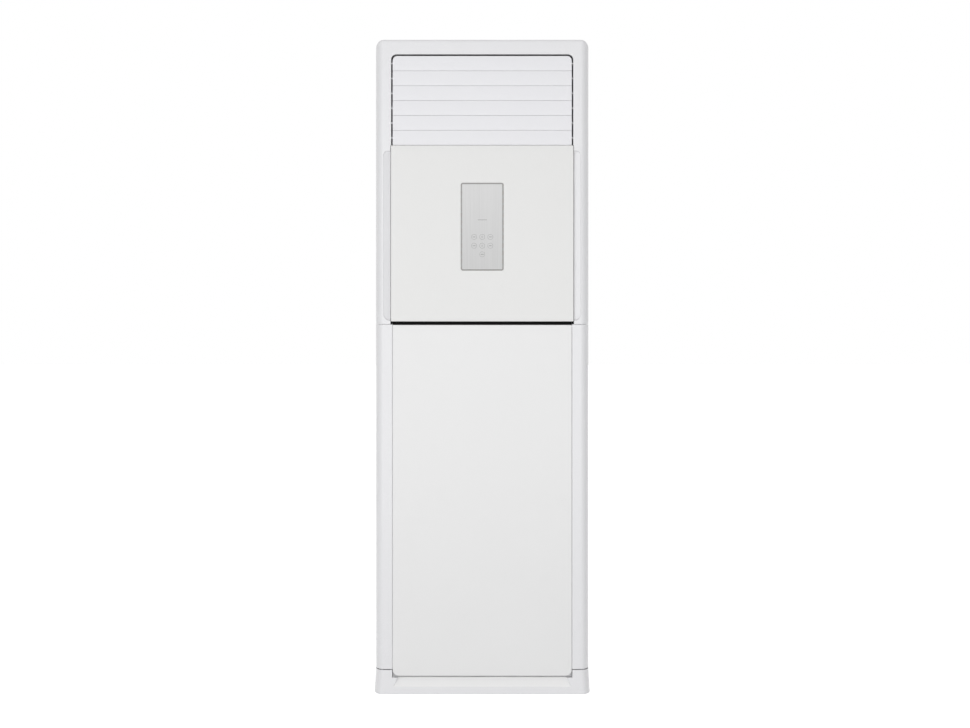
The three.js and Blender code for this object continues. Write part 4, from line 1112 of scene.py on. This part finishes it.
# ---- air filter: a ribbed frame with a net of crossed threads ----
screen = {"half": 262.0, "near": -86.0, "far": -78.0, "bottom": 112.4, "top": 790.0, "corner": 4.0,
          "border": 12.0, "thread": 0.35, "pitch": 4.0, "uprights": [-130, 0, 130],
          "levels": [280, 450, 620], "ribY": -82.4, "rib": 2.2, "warpY": -81.8, "weftY": -81.4}


def airFilter():
    near, far, border = screen["near"], screen["far"], screen["border"]
    rings = [(frontRing(screen, [screen["corner"]] * 4, inset), y)
             for inset, y in [(0.0, far - 1), (0.0, near + 1), (1.0, near), (border - 1, near),
                              (border, near + 1), (border, far - 1), (border - 1, far), (1.0, far)]]
    parts = [loopSurface(ringStack(rings))]
    inner = screen["half"] - border + 1
    low, high = screen["bottom"] + border - 1, screen["top"] - border + 1
    xs, zs = np.arange(-inner, inner, screen["pitch"]), np.arange(low, high, screen["pitch"])
    for places, y, radius, sides, ease in ((screen["uprights"], screen["ribY"], screen["rib"], 10, 0.3),
                                           (xs, screen["warpY"], screen["thread"], 4, 0.1)):
        parts += [bar((x, y, low), (x, y, high), radius, sides, ease) for x in places]
    for places, y, radius, sides, ease in ((screen["levels"], screen["ribY"], screen["rib"], 10, 0.3),
                                           (zs, screen["weftY"], screen["thread"], 4, 0.1)):
        parts += [bar((-inner, y, z), (inner, y, z), radius, sides, ease) for z in places]
    return buildMesh("airFilterNet", parts)


standFor(dress(smooth(airFilter(), 40), "filterNet"), "air_filter", "air_filter")
print("air filter made")

# ---- eased edges on the plain sheet and moulded pieces that keep their CAD form ----
easedEdge = {"width": 0.35, "angle": 50.0}
for member in ("base_pan", "anti_tip_bracket", "drain_pan", "electric_box", "electric_box_cover",
               "vane_top_rail", "vane_bottom_rail", "terminal_block", "vane_link", "louvre_link"):
    eased = nodes[member].modifiers.new("Eased Edges", "BEVEL")
    eased.width = easedEdge["width"] * mm
    eased.segments = 2
    eased.limit_method = "ANGLE"
    eased.angle_limit = math.radians(easedEdge["angle"])

# ---- camera: level, with the photo's rise of view ----
camera = {"x": 0.0083, "distance": 4.994, "height": 1.094, "lens": 62.6, "shift": -0.0408}
cameraData = bpy.data.cameras.new("photoCamera")
cameraData.lens = camera["lens"]
cameraData.sensor_width = 36
cameraData.shift_y = camera["shift"]
cameraData.clip_end = 60
cameraObject = bpy.data.objects.new("photoCamera", cameraData)
cameraObject.location = (camera["x"], cabinet["front"] * mm - camera["distance"], camera["height"])
cameraObject.rotation_euler = (math.radians(90), 0, 0)
scene.collection.objects.link(cameraObject)
scene.camera = cameraObject


# ---- stage: pale floor, white surround, soft lamps ----
studio = {
    "floorTone": 0.9,
    "floorGlow": 0.60,
    "worldLight": 0.60,
    "lamps": {
        "frontSoftbox": {"at": (-1.0, -5.0, 1.25), "aim": (0, 0, 0.55), "size": (6.0, 2.5), "power": 89},
        "topSoftbox": {"at": (0.0, -2.6, 3.9), "aim": (0, 0, 0.4), "size": (2.6, 2.2), "power": 5},
    },
}


# How much of what a ray sees is the plain white surround: camera, glossy and transmission rays.
def seenDirectly(tree):
    path = tree.nodes.new("ShaderNodeLightPath")
    seen = mathNode(tree, "ADD", path.outputs["Is Camera Ray"], path.outputs["Is Glossy Ray"])
    seen = mathNode(tree, "ADD", seen, path.outputs["Is Transmission Ray"])
    return mathNode(tree, "MINIMUM", seen, 1.0)


def makeStage():
    floorMesh = bpy.data.meshes.new("studioFloor")
    floorMesh.from_pydata([(-30, -12, 0), (30, -12, 0), (30, 40, 0), (-30, 40, 0)], [], [(0, 1, 2, 3)])
    floor = bpy.data.objects.new("studioFloor", floorMesh)
    scene.collection.objects.link(floor)
    material = bpy.data.materials.new("studioFloor")
    material.use_nodes = True
    tree = material.node_tree
    shader = tree.nodes["Principled BSDF"]
    tone = studio["floorTone"]
    shader.inputs["Base Color"].default_value = (tone, tone, tone, 1)
    shader.inputs["Roughness"].default_value = 0.9
    shader.inputs["Emission Color"].default_value = (1, 1, 1, 1)
    seen = seenDirectly(tree)
    wire(tree, [(mathNode(tree, "MULTIPLY", seen, studio["floorGlow"]), shader.inputs["Emission Strength"])])
    floorMesh.materials.append(material)

    world = bpy.data.worlds.new("whiteSurround")
    scene.world = world
    world.use_nodes = True
    background = world.node_tree.nodes["Background"]
    background.inputs["Color"].default_value = (1, 1, 1, 1)
    seen = seenDirectly(world.node_tree)
    lift = mathNode(world.node_tree, "MULTIPLY", seen, 1.0 - studio["worldLight"])
    strength = mathNode(world.node_tree, "ADD", lift, studio["worldLight"])
    wire(world.node_tree, [(strength, background.inputs["Strength"])])

    for name, lamp in studio["lamps"].items():
        data = bpy.data.lights.new(name, "AREA")
        data.shape = "RECTANGLE"
        data.size, data.size_y = lamp["size"]
        data.energy = lamp["power"]
        lampObject = bpy.data.objects.new(name, data)
        lampObject.location = lamp["at"]
        aim = np.array(lamp["aim"]) - np.array(lamp["at"])
        lampObject.rotation_euler = Vector(aim).to_track_quat("-Z", "Y").to_euler()
        scene.collection.objects.link(lampObject)


makeStage()
print("stage made")
